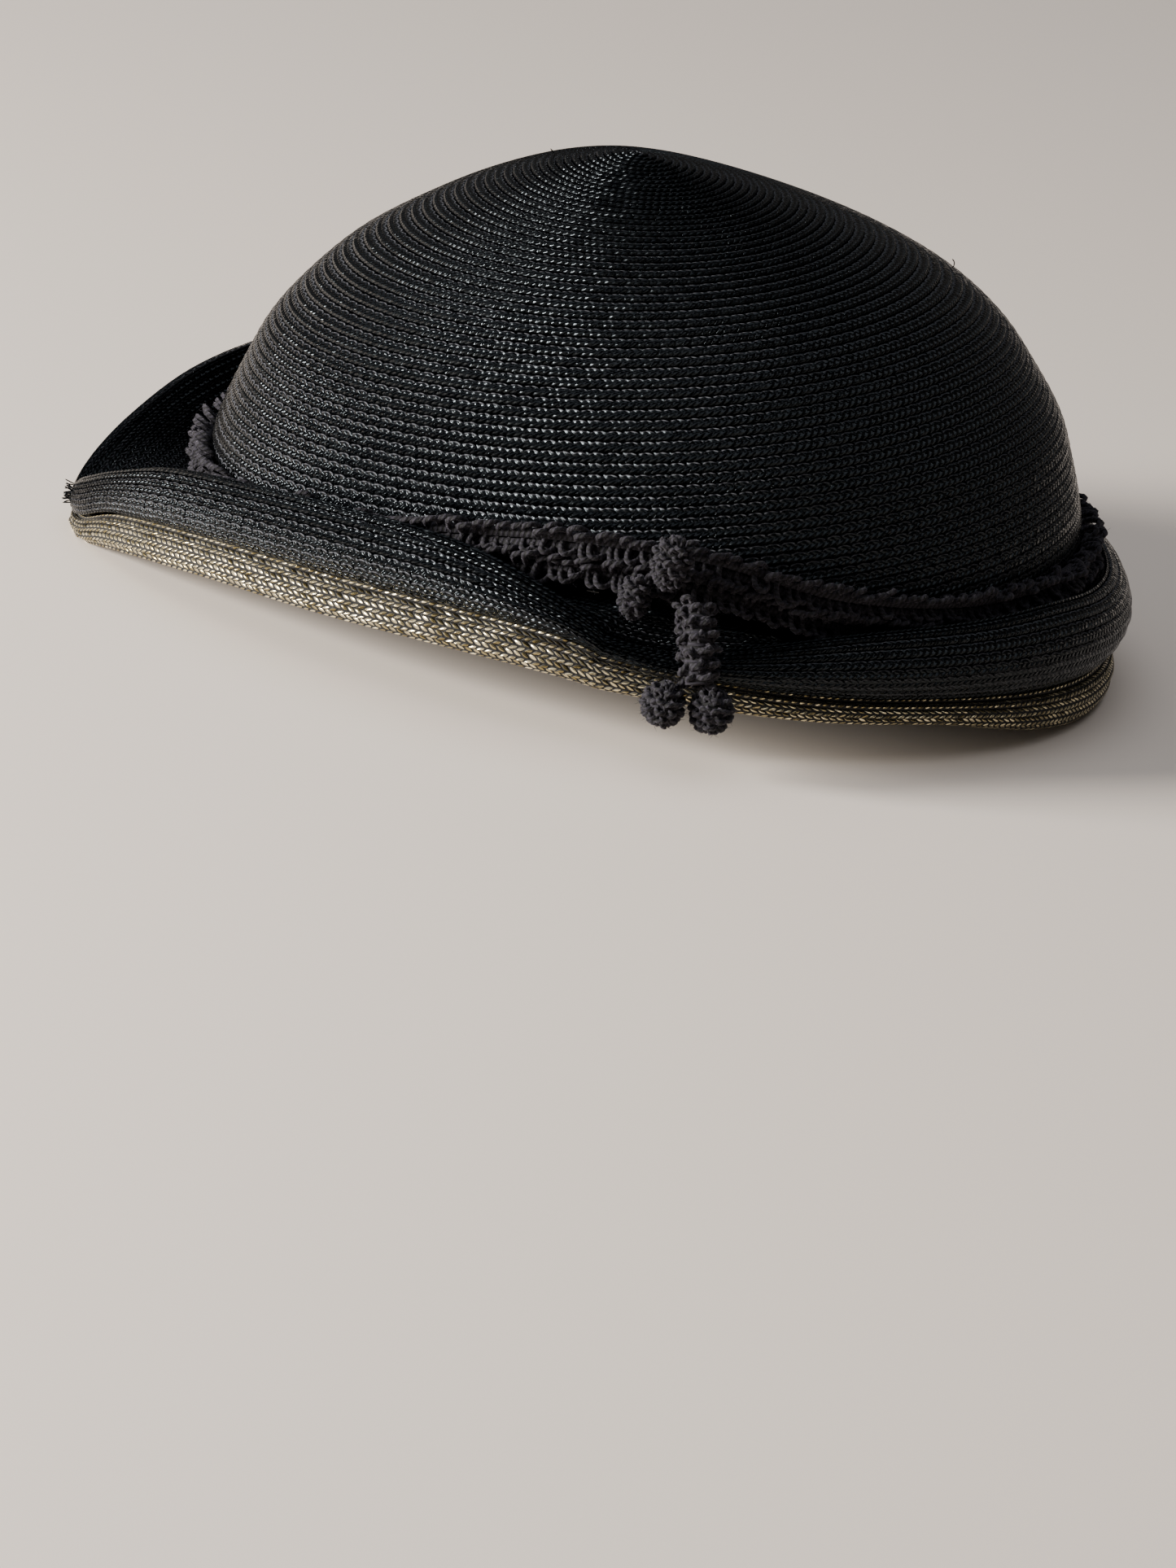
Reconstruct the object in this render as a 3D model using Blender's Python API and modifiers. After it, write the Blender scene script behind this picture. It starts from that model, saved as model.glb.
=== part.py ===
"""Black straw hat with a small double brim, black over gold, and a crocheted band.

The hat stands on the floor by itself, on the front tip and the back of its lower brim.
Metres, +Z up. The front of the hat faces -Y and the wearer's left side faces +X.
A turn is an angle round the hat in degrees: 0 at the front, 90 at the wearer's left, 180 at the back.
"""

import math
from collections import namedtuple

import bmesh
import bpy
import numpy as np
from mathutils import Vector

# Sizes of the crown
CROWN_LENGTH = 0.2080
CROWN_WIDTH = 0.1698
CROWN_TOP_HEIGHT = 0.1112
CROWN_TIP_FORWARD = 0.0150

# Sizes of the straw walls
CROWN_WALL = 0.0016
UPPER_WALL = 0.0012
LOWER_WALL = 0.0014
SEAM_GAP = 0.0003
NEST_DROP = 0.0010

# Sizes of the brim in plan, measured from the crown's upright axis
RIDGE_FRONT = 0.1338
RIDGE_BACK = 0.1122
RIDGE_HALF_WIDTH = 0.0950
BORDER_FRONT = 0.1350
BORDER_BACK = 0.1163
BORDER_HALF_WIDTH = 0.0990
BRIM_WIDEST_FORWARD = 0.0097
FRONT_SHARPNESS = 1.47

# Heights of the brim above the floor, each at its highest turn
VALLEY_HEIGHT = 0.0304
RIDGE_HEIGHT = 0.0396
BORDER_HEIGHT = 0.0246
RIM_LIFT = 0.0157

# Rolls of the two brims, flatter at the front, and the bend over the ridge
RIDGE_BEND = 0.0024
FRONT_ROLL = 0.3
BACK_ROLL = 0.95
UPPER_BULGE = 0.0032
LOWER_BULGE = 0.0016
TUCK_DEPTH = 0.0028
CURL_DEPTH = 0.0058
REST_WIDTH = 0.0030

# Dent where the tie presses the left side of the upper brim down
DENT_TURN = 96.0
DENT_SPREAD = 15.0
DENT_DEPTH = 0.0085

# Flare where the right side of the upper brim stands a little higher near the front
FLARE_TURN = 316.0
FLARE_SPREAD = 14.0
FLARE_HEIGHT = 0.0026

# Crocheted band in the valley
BAND_THICKNESS = 0.0048
BAND_HEIGHT = 0.0128
BAND_PERCH = 0.0040

# Crocheted knot with its loop, the tie below them and the two balls at its end
KNOT_WIDTH = 0.0100
KNOT_HEIGHT = 0.0130
KNOT_DEPTH = 0.0088
LOOP_WIDTH = 0.0076
LOOP_HEIGHT = 0.0105
LOOP_DEPTH = 0.0070
TIE_TURN = 98.0
TIE_DIAMETER = 0.0088
BALL_DIAMETER = 0.0104
BALL_SPACING = 0.0108

# Where each of them sits: how far behind the crown's axis, and how high above the floor
Spot = namedtuple("Spot", "back height")
KNOT_SPOT = Spot(back=0.0028, height=0.0449)
LOOP_SPOT = Spot(back=-0.0042, height=0.0358)
TIE_TOP_SPOT = Spot(back=0.0086, height=0.0352)
TIE_FOOT_SPOT = Spot(back=0.0132, height=0.0232)
BALLS_SPOT = Spot(back=0.0106, height=0.0162)

# Frayed end of the braid at the front tip
BRAID_END_WIDTH = 0.0050
BRAID_END_HEIGHT = 0.0038
BRAID_END_LENGTH = 0.0018

# How finely the shells are drawn
TURN_STEPS = 60
BAND_SIDES = 8

# Crown sections from its foot to its tip: height as a share of the crown's rise at that turn,
# reach as a share of half its length and width, forward as a share of the tip's forward shift
CrownSection = namedtuple("CrownSection", "height reach forward")
CROWN_SECTIONS = (
    CrownSection(height=0.000, reach=0.950, forward=0.00),
    CrownSection(height=0.060, reach=0.985, forward=0.00),
    CrownSection(height=0.130, reach=1.000, forward=0.00),
    CrownSection(height=0.220, reach=0.985, forward=0.00),
    CrownSection(height=0.330, reach=0.952, forward=0.00),
    CrownSection(height=0.450, reach=0.908, forward=0.00),
    CrownSection(height=0.570, reach=0.832, forward=0.00),
    CrownSection(height=0.680, reach=0.743, forward=-0.03),
    CrownSection(height=0.780, reach=0.620, forward=-0.03),
    CrownSection(height=0.860, reach=0.480, forward=0.14),
    CrownSection(height=0.930, reach=0.304, forward=0.46),
    CrownSection(height=0.975, reach=0.137, forward=0.78),
)

# Brim heights round one half of the hat, as shares of the named heights above, and the share of
# the two bulges there
Station = namedtuple("Station", "turn valley ridge border lift perch roll")
STATIONS = (
    Station(turn=0, valley=0.51, ridge=0.29, border=0.17, lift=0.00, perch=0.05, roll=FRONT_ROLL),
    Station(turn=10, valley=0.51, ridge=0.40, border=0.25, lift=0.00, perch=0.05, roll=0.40),
    Station(turn=20, valley=0.52, ridge=0.58, border=0.52, lift=0.24, perch=0.05, roll=0.55),
    Station(turn=30, valley=0.58, ridge=0.77, border=0.71, lift=0.47, perch=0.05, roll=0.70),
    Station(turn=40, valley=0.69, ridge=0.88, border=0.85, lift=0.67, perch=0.05, roll=0.85),
    Station(turn=52, valley=0.81, ridge=0.97, border=0.95, lift=0.82, perch=0.05, roll=1.00),
    Station(turn=66, valley=0.94, ridge=1.00, border=1.00, lift=0.97, perch=0.40, roll=1.00),
    Station(turn=80, valley=1.00, ridge=0.90, border=0.98, lift=1.00, perch=0.90, roll=1.00),
    Station(turn=96, valley=0.98, ridge=0.84, border=0.81, lift=0.87, perch=1.00, roll=1.00),
    Station(turn=113, valley=0.86, ridge=0.80, border=0.71, lift=0.70, perch=0.30, roll=1.00),
    Station(turn=130, valley=0.79, ridge=0.81, border=0.65, lift=0.58, perch=0.15, roll=1.00),
    Station(turn=148, valley=0.78, ridge=0.83, border=0.57, lift=0.18, perch=0.15, roll=1.00),
    Station(turn=162, valley=0.79, ridge=0.78, border=0.52, lift=0.00, perch=0.15, roll=BACK_ROLL),
    Station(turn=180, valley=0.79, ridge=0.75, border=0.46, lift=0.00, perch=0.15, roll=BACK_ROLL),
)

# Plan outlines: reach to the front and the back of the widest line, half width, how far that line
# lies in front of the crown's axis, and the sharpness of the front half, where 2 is a plain oval
Outline = namedtuple("Outline", "front back side forward sharpness")
CROWN_OUTLINE = Outline(CROWN_LENGTH / 2, CROWN_LENGTH / 2, CROWN_WIDTH / 2, 0.0, 2.0)
RIDGE_OUTLINE = Outline(
    RIDGE_FRONT - BRIM_WIDEST_FORWARD,
    RIDGE_BACK + BRIM_WIDEST_FORWARD,
    RIDGE_HALF_WIDTH,
    BRIM_WIDEST_FORWARD,
    FRONT_SHARPNESS,
)
BORDER_OUTLINE = Outline(
    BORDER_FRONT - BRIM_WIDEST_FORWARD,
    BORDER_BACK + BRIM_WIDEST_FORWARD,
    BORDER_HALF_WIDTH,
    BRIM_WIDEST_FORWARD,
    FRONT_SHARPNESS,
)

# The hat's middle is halfway between its ends, and the crown's axis stands away from that middle
HAT_FRONT = BORDER_FRONT + UPPER_BULGE * FRONT_ROLL + SEAM_GAP + BRAID_END_LENGTH
HAT_BACK = BORDER_BACK + UPPER_BULGE * BACK_ROLL
HAT_LEFT = BORDER_HALF_WIDTH + LOWER_BULGE + SEAM_GAP + BALL_DIAMETER
HAT_RIGHT = BORDER_HALF_WIDTH + UPPER_BULGE
AXIS_X = (HAT_RIGHT - HAT_LEFT) / 2
AXIS_Y = (HAT_FRONT - HAT_BACK) / 2

TURNS = tuple(360.0 * step / TURN_STEPS for step in range(TURN_STEPS))
FLOOR_SEAT = UPPER_WALL + SEAM_GAP


def clear_scene():
    """Remove every object, so that only the hat is left."""
    for obj in list(bpy.data.objects):
        bpy.data.objects.remove(obj, do_unlink=True)


def new_collection(name):
    """Add a collection to the scene."""
    collection = bpy.data.collections.new(name)
    bpy.context.scene.collection.children.link(collection)
    return collection


def new_material(name, colour, roughness, metallic):
    """A principled material of one colour."""
    material = bpy.data.materials.new(name)
    material.use_nodes = True
    shader = material.node_tree.nodes["Principled BSDF"]
    shader.inputs["Base Color"].default_value = (*colour, 1.0)
    shader.inputs["Roughness"].default_value = roughness
    shader.inputs["Metallic"].default_value = metallic
    material.diffuse_color = (*colour, 1.0)
    return material


def smooth_value(places, values, at):
    """A smooth curve through rows of a table, read at one place between the first and the last."""
    row = max(0, min(len(places) - 2, int(np.searchsorted(places, at, side="right")) - 1))

    def slope(i):
        if i == 0 or i == len(places) - 1:
            return 0.0
        return (values[i + 1] - values[i - 1]) / (places[i + 1] - places[i - 1])

    span = places[row + 1] - places[row]
    t = (at - places[row]) / span
    start = values[row] * (2 * t**3 - 3 * t**2 + 1) + values[row + 1] * (3 * t**2 - 2 * t**3)
    lean = slope(row) * (t**3 - 2 * t**2 + t) + slope(row + 1) * (t**3 - t**2)
    return start + lean * span


def station_share(column, turn):
    """A column of the brim's table at any turn. Both sides of the hat are alike."""
    half = turn % 360.0
    half = 360.0 - half if half > 180.0 else half
    return smooth_value([s.turn for s in STATIONS], [getattr(s, column) for s in STATIONS], half)


def swelling(turn, middle, spread):
    """A smooth share that is 1 at one turn and fades away to both sides."""
    return math.exp(-(((turn % 360.0 - middle) / spread) ** 2))


def valley_height(turn):
    return VALLEY_HEIGHT * station_share("valley", turn)


def ridge_height(turn):
    dent = DENT_DEPTH * swelling(turn, DENT_TURN, DENT_SPREAD)
    flare = FLARE_HEIGHT * swelling(turn, FLARE_TURN, FLARE_SPREAD)
    return RIDGE_HEIGHT * station_share("ridge", turn) - dent + flare


def border_height(turn):
    return BORDER_HEIGHT * station_share("border", turn)


def rim_height(turn):
    return max(0.0, RIM_LIFT * station_share("lift", turn))


def upper_bulge(turn):
    return UPPER_BULGE * station_share("roll", turn)


def lower_bulge(turn):
    return LOWER_BULGE * station_share("roll", turn)


def grown(outline, by):
    """The outline set outwards by a width."""
    return outline._replace(front=outline.front + by, back=outline.back + by, side=outline.side + by)


def scaled(outline, share):
    return outline._replace(
        front=outline.front * share, back=outline.back * share, side=outline.side * share
    )


def plan_point(outline, turn, height):
    """The point of a plan outline at a turn, at a height above the floor."""
    c = math.cos(math.radians(turn))
    s = math.sin(math.radians(turn))
    power = 2.0 / outline.sharpness if c > 0 else 1.0
    x = outline.side * math.copysign(abs(s) ** power, s)
    along = -outline.front * abs(c) ** power if c > 0 else outline.back * abs(c)
    return Vector((AXIS_X + x, AXIS_Y - outline.forward + along, height))


def between(first, second, share, height):
    """A point part of the way from one plan point to another, at its own height."""
    point = first.lerp(second, share)
    return Vector((point.x, point.y, height))


def mix(first, second, share):
    return first + (second - first) * share


def crown_foot(turn):
    """Height of the crown's lower edge, just above the brim."""
    return valley_height(turn) + SEAM_GAP


def crown_section(turn):
    """Points of the crown's outer face at one turn, from its foot to just below its tip."""
    foot = crown_foot(turn)
    points = []
    for section in CROWN_SECTIONS:
        height = mix(foot, CROWN_TOP_HEIGHT, section.height)
        point = plan_point(scaled(CROWN_OUTLINE, section.reach), turn, height)
        point.y -= CROWN_TIP_FORWARD * section.forward
        points.append(point)
    return points


def crown_tip():
    return Vector((AXIS_X, AXIS_Y - CROWN_TIP_FORWARD, CROWN_TOP_HEIGHT))


def band_outline(offset=0.0):
    """Plan outline through the middle of the band's thickness, or set outwards from it."""
    return grown(CROWN_OUTLINE, SEAM_GAP + BAND_THICKNESS / 2 + offset)


def trough_point(turn, height):
    """Where the brim's floor ends and its inner slope begins, just outside the band."""
    return plan_point(band_outline(BAND_THICKNESS / 2 + SEAM_GAP), turn, height)


def bend_point(trough, crest, across, drop):
    """A point of the bend just inside the ridge, never below the straight slope up to it."""
    width = (crest.xy - trough.xy).length
    share = 1.0 - across * RIDGE_BEND / width
    return between(trough, crest, share, max(crest.z - drop * RIDGE_BEND, mix(trough.z, crest.z, share)))


def upper_section(turn):
    """Points of the upper brim's top face at one turn, from the head opening out to its lower edge."""
    valley = valley_height(turn)
    ridge = ridge_height(turn)
    border = border_height(turn)
    foot = scaled(CROWN_OUTLINE, CROWN_SECTIONS[0].reach)
    opening = plan_point(grown(foot, -CROWN_WALL), turn, valley)
    trough = trough_point(turn, valley)
    crest = plan_point(RIDGE_OUTLINE, turn, ridge)
    edge = plan_point(BORDER_OUTLINE, turn, border)
    full = plan_point(grown(BORDER_OUTLINE, upper_bulge(turn)), turn, border)
    inner = bend_point(trough, crest, 0.97, 0.74)
    outer_share = 0.6 * RIDGE_BEND / (full.xy - crest.xy).length
    return [
        opening,
        trough,
        between(trough, inner, 0.35, mix(valley, inner.z, 0.20)),
        inner,
        bend_point(trough, crest, 0.50, 0.14),
        crest,
        between(crest, full, outer_share, ridge - 0.2 * RIDGE_BEND),
        between(crest, full, 0.66, mix(border, ridge, 0.82)),
        between(edge, full, 1.0, mix(border, ridge, 0.50)),
        between(edge, full, 0.72, mix(border, ridge, 0.20)),
        edge,
    ]


def lower_section(turn):
    """Points of the lower brim's outer face at one turn, from the head opening out and round its roll."""
    valley = valley_height(turn)
    border = border_height(turn)
    rim = rim_height(turn)
    bulge = lower_bulge(turn)
    foot = scaled(CROWN_OUTLINE, CROWN_SECTIONS[0].reach)
    hidden = border - FLOOR_SEAT * 0.25
    opening = plan_point(grown(foot, -CROWN_WALL), turn, valley - FLOOR_SEAT)
    tucked = plan_point(grown(BORDER_OUTLINE, -TUCK_DEPTH), turn, hidden)
    shown = plan_point(grown(BORDER_OUTLINE, bulge * 0.2), turn, mix(border, rim, 0.24))
    full = plan_point(grown(BORDER_OUTLINE, bulge), turn, mix(border, rim, 0.52))
    under = plan_point(grown(BORDER_OUTLINE, bulge * 0.6), turn, mix(border, rim, 0.84))
    rest_out = plan_point(grown(BORDER_OUTLINE, -LOWER_BULGE), turn, rim)
    rest_in = plan_point(grown(BORDER_OUTLINE, -LOWER_BULGE - REST_WIDTH), turn, rim)
    curl = plan_point(grown(BORDER_OUTLINE, -CURL_DEPTH), turn, rim + REST_WIDTH * 0.3)
    trough = trough_point(turn, valley - FLOOR_SEAT - NEST_DROP * 0.5)
    return [
        opening,
        trough,
        between(trough, tucked, 0.6, mix(trough.z, hidden, 0.7) - NEST_DROP),
        tucked,
        shown,
        full,
        under,
        rest_out,
        rest_in,
        curl,
    ]


def rounded(points, steps):
    """The section with smooth points added: as many steps in each stretch as the list says."""
    result = [points[0]]
    last = len(points) - 1
    for i, count in enumerate(steps):
        before = points[max(0, i - 1)]
        after = points[min(last, i + 2)]
        start_lean = (points[i + 1] - before) / 2
        end_lean = (after - points[i]) / 2
        for step in range(1, count + 1):
            t = step / count
            result.append(
                points[i] * (2 * t**3 - 3 * t**2 + 1)
                + points[i + 1] * (3 * t**2 - 2 * t**3)
                + start_lean * (t**3 - 2 * t**2 + t)
                + end_lean * (t**3 - t**2)
            )
    return result


def loft(name, sections, collection, material, tip=None, ring=False):
    """A skin through one section for each turn. A tip closes its end, and a ring closes each section.

    The face looks outwards where the sections run upwards.
    """
    mesh = bpy.data.meshes.new(name)
    bm = bmesh.new()
    columns = [[bm.verts.new(point) for point in section] for section in sections]
    rows = len(columns[0])
    for i, column in enumerate(columns):
        following = columns[(i + 1) % len(columns)]
        for j in range(rows if ring else rows - 1):
            k = (j + 1) % rows
            bm.faces.new((column[j], following[j], following[k], column[k]))
    if tip is not None:
        centre = bm.verts.new(tip)
        for i, column in enumerate(columns):
            bm.faces.new((column[-1], columns[(i + 1) % len(columns)][-1], centre))
    bm.to_mesh(mesh)
    bm.free()
    mesh.shade_smooth()
    obj = bpy.data.objects.new(name, mesh)
    collection.objects.link(obj)
    mesh.materials.append(material)
    return obj


def thicken(obj, wall):
    """Give an open skin its wall, on the side away from the face."""
    solid = obj.modifiers.new("Wall", "SOLIDIFY")
    solid.thickness = wall
    solid.offset = -1.0
    solid.use_even_offset = True
    solid.thickness_clamp = 1.0


def build_crown(collection, material):
    """Domed crown: an oval shell, open below, widest just above its foot."""
    sections = [crown_section(turn) for turn in TURNS]
    crown = loft("crown", sections, collection, material, tip=crown_tip())
    thicken(crown, CROWN_WALL)
    return crown


def build_upper_brim(collection, material):
    """Black brim: out from the crown, up to a ridge and rolled over outwards and down."""
    steps = (1, 1, 1, 1, 1, 1, 1, 2, 1, 1)
    sections = [rounded(upper_section(turn), steps)[::-1] for turn in TURNS]
    brim = loft("upper_brim", sections, collection, material)
    thicken(brim, UPPER_WALL)
    return brim


def build_lower_brim(collection, material):
    """Gold brim: under the black one, then a roll of its own that curls in below."""
    steps = (1, 1, 1, 2, 1, 1, 1, 1, 1)
    sections = [rounded(lower_section(turn), steps)[::-1] for turn in TURNS]
    brim = loft("lower_brim", sections, collection, material)
    thicken(brim, LOWER_WALL)
    return brim


def band_centre_height(turn):
    """Height of the band's middle: it stands on the brim's valley, a little higher at the tie."""
    perch = BAND_PERCH * station_share("perch", turn)
    return valley_height(turn) + SEAM_GAP + perch + BAND_HEIGHT / 2


def band_section(turn):
    """Oblong section of the crocheted band at one turn."""
    middle = band_centre_height(turn)
    points = []
    for side in range(BAND_SIDES):
        angle = 2 * math.pi * (side + 0.5) / BAND_SIDES
        out = math.copysign(abs(math.cos(angle)) ** 0.6, math.cos(angle)) * BAND_THICKNESS / 2
        rise = math.copysign(abs(math.sin(angle)) ** 0.6, math.sin(angle)) * BAND_HEIGHT / 2
        points.append(plan_point(band_outline(out), turn, middle + rise))
    return points


def build_band(collection, material):
    """Crocheted band: a soft strip closed into a ring round the foot of the crown."""
    sections = [band_section(turn) for turn in TURNS]
    return loft("crochet_band", sections, collection, material, ring=True)


def soft_ball(name, centre, size, collection, material, segments=12, rings=8):
    """A rounded lump of crochet of a width, depth and height."""
    mesh = bpy.data.meshes.new(name)
    bm = bmesh.new()
    bmesh.ops.create_uvsphere(bm, u_segments=segments, v_segments=rings, radius=0.5)
    bmesh.ops.scale(bm, vec=size, verts=bm.verts)
    bmesh.ops.translate(bm, vec=centre, verts=bm.verts)
    bm.to_mesh(mesh)
    bm.free()
    mesh.shade_smooth()
    obj = bpy.data.objects.new(name, mesh)
    collection.objects.link(obj)
    mesh.materials.append(material)
    return obj


def spot_point(spot, out):
    """The place of a spot at a distance out from the crown's axis."""
    return Vector((AXIS_X + out, AXIS_Y + spot.back, spot.height))


def band_face():
    """How far out the outer face of the band lies at the hat's side."""
    return band_outline(BAND_THICKNESS / 2).side


def knot_centre():
    """Middle of the knot, in front of the band."""
    return spot_point(KNOT_SPOT, band_face() + SEAM_GAP + KNOT_DEPTH / 2)


def loop_centre():
    """Middle of the loop that hangs in front of the knot's lower end."""
    return spot_point(LOOP_SPOT, band_face() + SEAM_GAP + LOOP_DEPTH / 2)


def tie_route():
    """Middle line of the tie: from below the knot over the dented ridge and down the brim's outer face."""
    clear = TIE_DIAMETER / 2 + SEAM_GAP
    skin = upper_section(TIE_TURN)
    route = [spot_point(TIE_TOP_SPOT, band_face() + clear)]
    for i in (7,):
        along = skin[i + 1] - skin[i - 1]
        normal = Vector((-along.z, 0.0, along.x)).normalized()
        route.append(skin[i] + normal * (clear + 2 * SEAM_GAP))
    route.append(spot_point(TIE_FOOT_SPOT, skin[8].x - AXIS_X + clear + SEAM_GAP))
    for i, point in enumerate(route):
        point.y = AXIS_Y + mix(TIE_TOP_SPOT.back, TIE_FOOT_SPOT.back, i / (len(route) - 1))
    return route


def build_tie(collection, material):
    """Crocheted tie over the brim: a soft round cord, sewn down along its length."""
    curve = bpy.data.curves.new("drop_cord", "CURVE")
    curve.dimensions = "3D"
    curve.bevel_depth = TIE_DIAMETER / 2
    curve.bevel_resolution = 2
    curve.use_fill_caps = True
    route = rounded(tie_route(), (2, 2))
    spline = curve.splines.new("POLY")
    spline.points.add(len(route) - 1)
    for place, point in zip(spline.points, route):
        place.co = (*point, 1.0)
    curve.materials.append(material)
    obj = bpy.data.objects.new("drop_cord", curve)
    collection.objects.link(obj)
    return obj


def ball_centre(side):
    """Middle of one of the two balls that hang at the rim, side by side below the tie."""
    out = BORDER_HALF_WIDTH + LOWER_BULGE + SEAM_GAP + BALL_DIAMETER / 2
    centre = spot_point(BALLS_SPOT, out)
    centre.y += side * BALL_SPACING / 2
    return centre


def build_braid_end(collection, material):
    """Frayed end of the braid: a short flat tuft that stands out at the front tip."""
    mesh = bpy.data.meshes.new("braid_end")
    bm = bmesh.new()
    bmesh.ops.create_cube(bm, size=1.0)
    bmesh.ops.subdivide_edges(bm, edges=bm.edges, cuts=1, use_grid_fill=True)
    for vert in bm.verts:
        spread = 1.0 + 0.5 * (0.5 - vert.co.y)
        vert.co.x *= spread
        vert.co.z *= spread * (1.0 - 0.6 * abs(vert.co.x))
    bmesh.ops.scale(bm, vec=(BRAID_END_WIDTH, BRAID_END_LENGTH, BRAID_END_HEIGHT), verts=bm.verts)
    height = mix(border_height(0.0), ridge_height(0.0), 0.5)
    seat = plan_point(grown(BORDER_OUTLINE, upper_bulge(0.0)), 0.0, height)
    seat.y -= SEAM_GAP + BRAID_END_LENGTH / 2
    bmesh.ops.translate(bm, vec=seat, verts=bm.verts)
    bm.to_mesh(mesh)
    bm.free()
    obj = bpy.data.objects.new("braid_end", mesh)
    collection.objects.link(obj)
    mesh.materials.append(material)
    return obj


def build_hat():
    clear_scene()
    hat = new_collection("Straw hat")
    black_straw = new_material("black_straw_braid", (0.008, 0.009, 0.011), 0.32, 0.0)
    gold_straw = new_material("gold_metallic_braid", (0.42, 0.36, 0.22), 0.28, 0.8)
    crochet = new_material("black_crochet_yarn", (0.012, 0.010, 0.014), 0.85, 0.0)
    build_crown(hat, black_straw)
    build_upper_brim(hat, black_straw)
    build_lower_brim(hat, gold_straw)
    build_band(hat, crochet)
    knot_size = (KNOT_DEPTH, KNOT_WIDTH, KNOT_HEIGHT)
    soft_ball("knot", knot_centre(), knot_size, hat, crochet)
    loop_size = (LOOP_DEPTH, LOOP_WIDTH, LOOP_HEIGHT)
    soft_ball("knot_loop", loop_centre(), loop_size, hat, crochet)
    build_tie(hat, crochet)
    ball_size = (BALL_DIAMETER, BALL_DIAMETER, BALL_DIAMETER)
    soft_ball("front_ball", ball_centre(-1), ball_size, hat, crochet)
    soft_ball("back_ball", ball_centre(1), ball_size, hat, crochet)
    build_braid_end(hat, black_straw)


build_hat()
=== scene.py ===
"""Looks of a black straw hat with a gold under-brim and a crocheted trim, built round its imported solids.

The hat stands on a pale floor beside one window light. Metres, +Z up, and the front faces -Y.
A turn is an angle round the hat in degrees: 0 at the front, 90 at the wearer's left, 180 at the back.
"""

import logging
import math
from collections.abc import Sequence
from dataclasses import dataclass
from enum import Enum
from typing import Any

import bpy
import numpy as np
from mathutils import Matrix, Vector


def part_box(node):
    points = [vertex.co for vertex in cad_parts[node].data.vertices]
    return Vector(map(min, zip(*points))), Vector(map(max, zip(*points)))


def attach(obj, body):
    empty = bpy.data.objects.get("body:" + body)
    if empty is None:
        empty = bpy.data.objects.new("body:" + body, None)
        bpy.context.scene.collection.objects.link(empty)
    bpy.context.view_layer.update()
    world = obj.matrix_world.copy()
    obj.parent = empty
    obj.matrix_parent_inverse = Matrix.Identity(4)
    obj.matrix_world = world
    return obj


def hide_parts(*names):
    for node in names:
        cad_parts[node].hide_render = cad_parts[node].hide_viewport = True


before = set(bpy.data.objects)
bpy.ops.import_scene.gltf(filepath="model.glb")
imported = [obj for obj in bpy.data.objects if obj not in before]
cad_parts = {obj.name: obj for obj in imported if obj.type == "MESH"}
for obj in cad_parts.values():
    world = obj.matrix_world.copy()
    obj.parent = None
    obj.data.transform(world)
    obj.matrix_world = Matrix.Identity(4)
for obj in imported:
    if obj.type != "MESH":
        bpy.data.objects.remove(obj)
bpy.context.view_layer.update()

MM = 0.001
BODY = "root"
LEAST_STEP = 1e-6
BRIM_COLUMNS = 216
log = logging.getLogger("straw_hat")

Piece = bpy.types.Object
Material = bpy.types.Material
Socket = bpy.types.NodeSocket


class Slot(Enum):
    """The record's material slots."""

    BLACK_STRAW = "black_straw_braid"
    GOLD_STRAW = "gold_metallic_braid"
    CROCHET = "black_crochet_yarn"


class Sewing(Enum):
    """How the rows of a braided shell are laid."""

    SPIRAL = "one row wound on and on"
    RINGS = "closed rows"


# Shared shapes


@dataclass(frozen=True)
class Outline:
    """A plan outline: reach to the front and back of its widest line, and how pointed its front is."""

    front: float
    back: float
    side: float
    forward: float = 0.0
    sharpness: float = 2.0

    def grown(self, by: float | np.ndarray) -> "Outline":
        """The outline set outwards by a width, or by one width for each turn."""
        return Outline(self.front + by, self.back + by, self.side + by, self.forward, self.sharpness)

    def scaled(self, share: float | np.ndarray) -> "Outline":
        """The outline at a share of its size."""
        size = (self.front * share, self.back * share, self.side * share)
        return Outline(*size, self.forward, self.sharpness)


@dataclass(frozen=True)
class CrownSection:
    """One level of the crown: shares of its rise, of its half length and width, and of its tip's shift."""

    height: float
    reach: float
    forward: float


@dataclass(frozen=True)
class Station:
    """Brim heights at one turn as shares of the named heights, and the share of the brims' bulges."""

    turn: float
    valley: float
    ridge: float
    border: float
    lift: float
    perch: float
    roll: float


CROWN_SECTIONS = (
    CrownSection(0.000, 0.950, 0.00),
    CrownSection(0.060, 0.985, 0.00),
    CrownSection(0.130, 1.000, 0.00),
    CrownSection(0.220, 0.985, 0.00),
    CrownSection(0.330, 0.952, 0.00),
    CrownSection(0.450, 0.908, 0.00),
    CrownSection(0.570, 0.832, 0.00),
    CrownSection(0.680, 0.743, -0.03),
    CrownSection(0.780, 0.620, -0.03),
    CrownSection(0.860, 0.480, 0.14),
    CrownSection(0.930, 0.304, 0.46),
    CrownSection(0.975, 0.137, 0.78),
    CrownSection(1.000, 0.000, 1.00),
)

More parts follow.
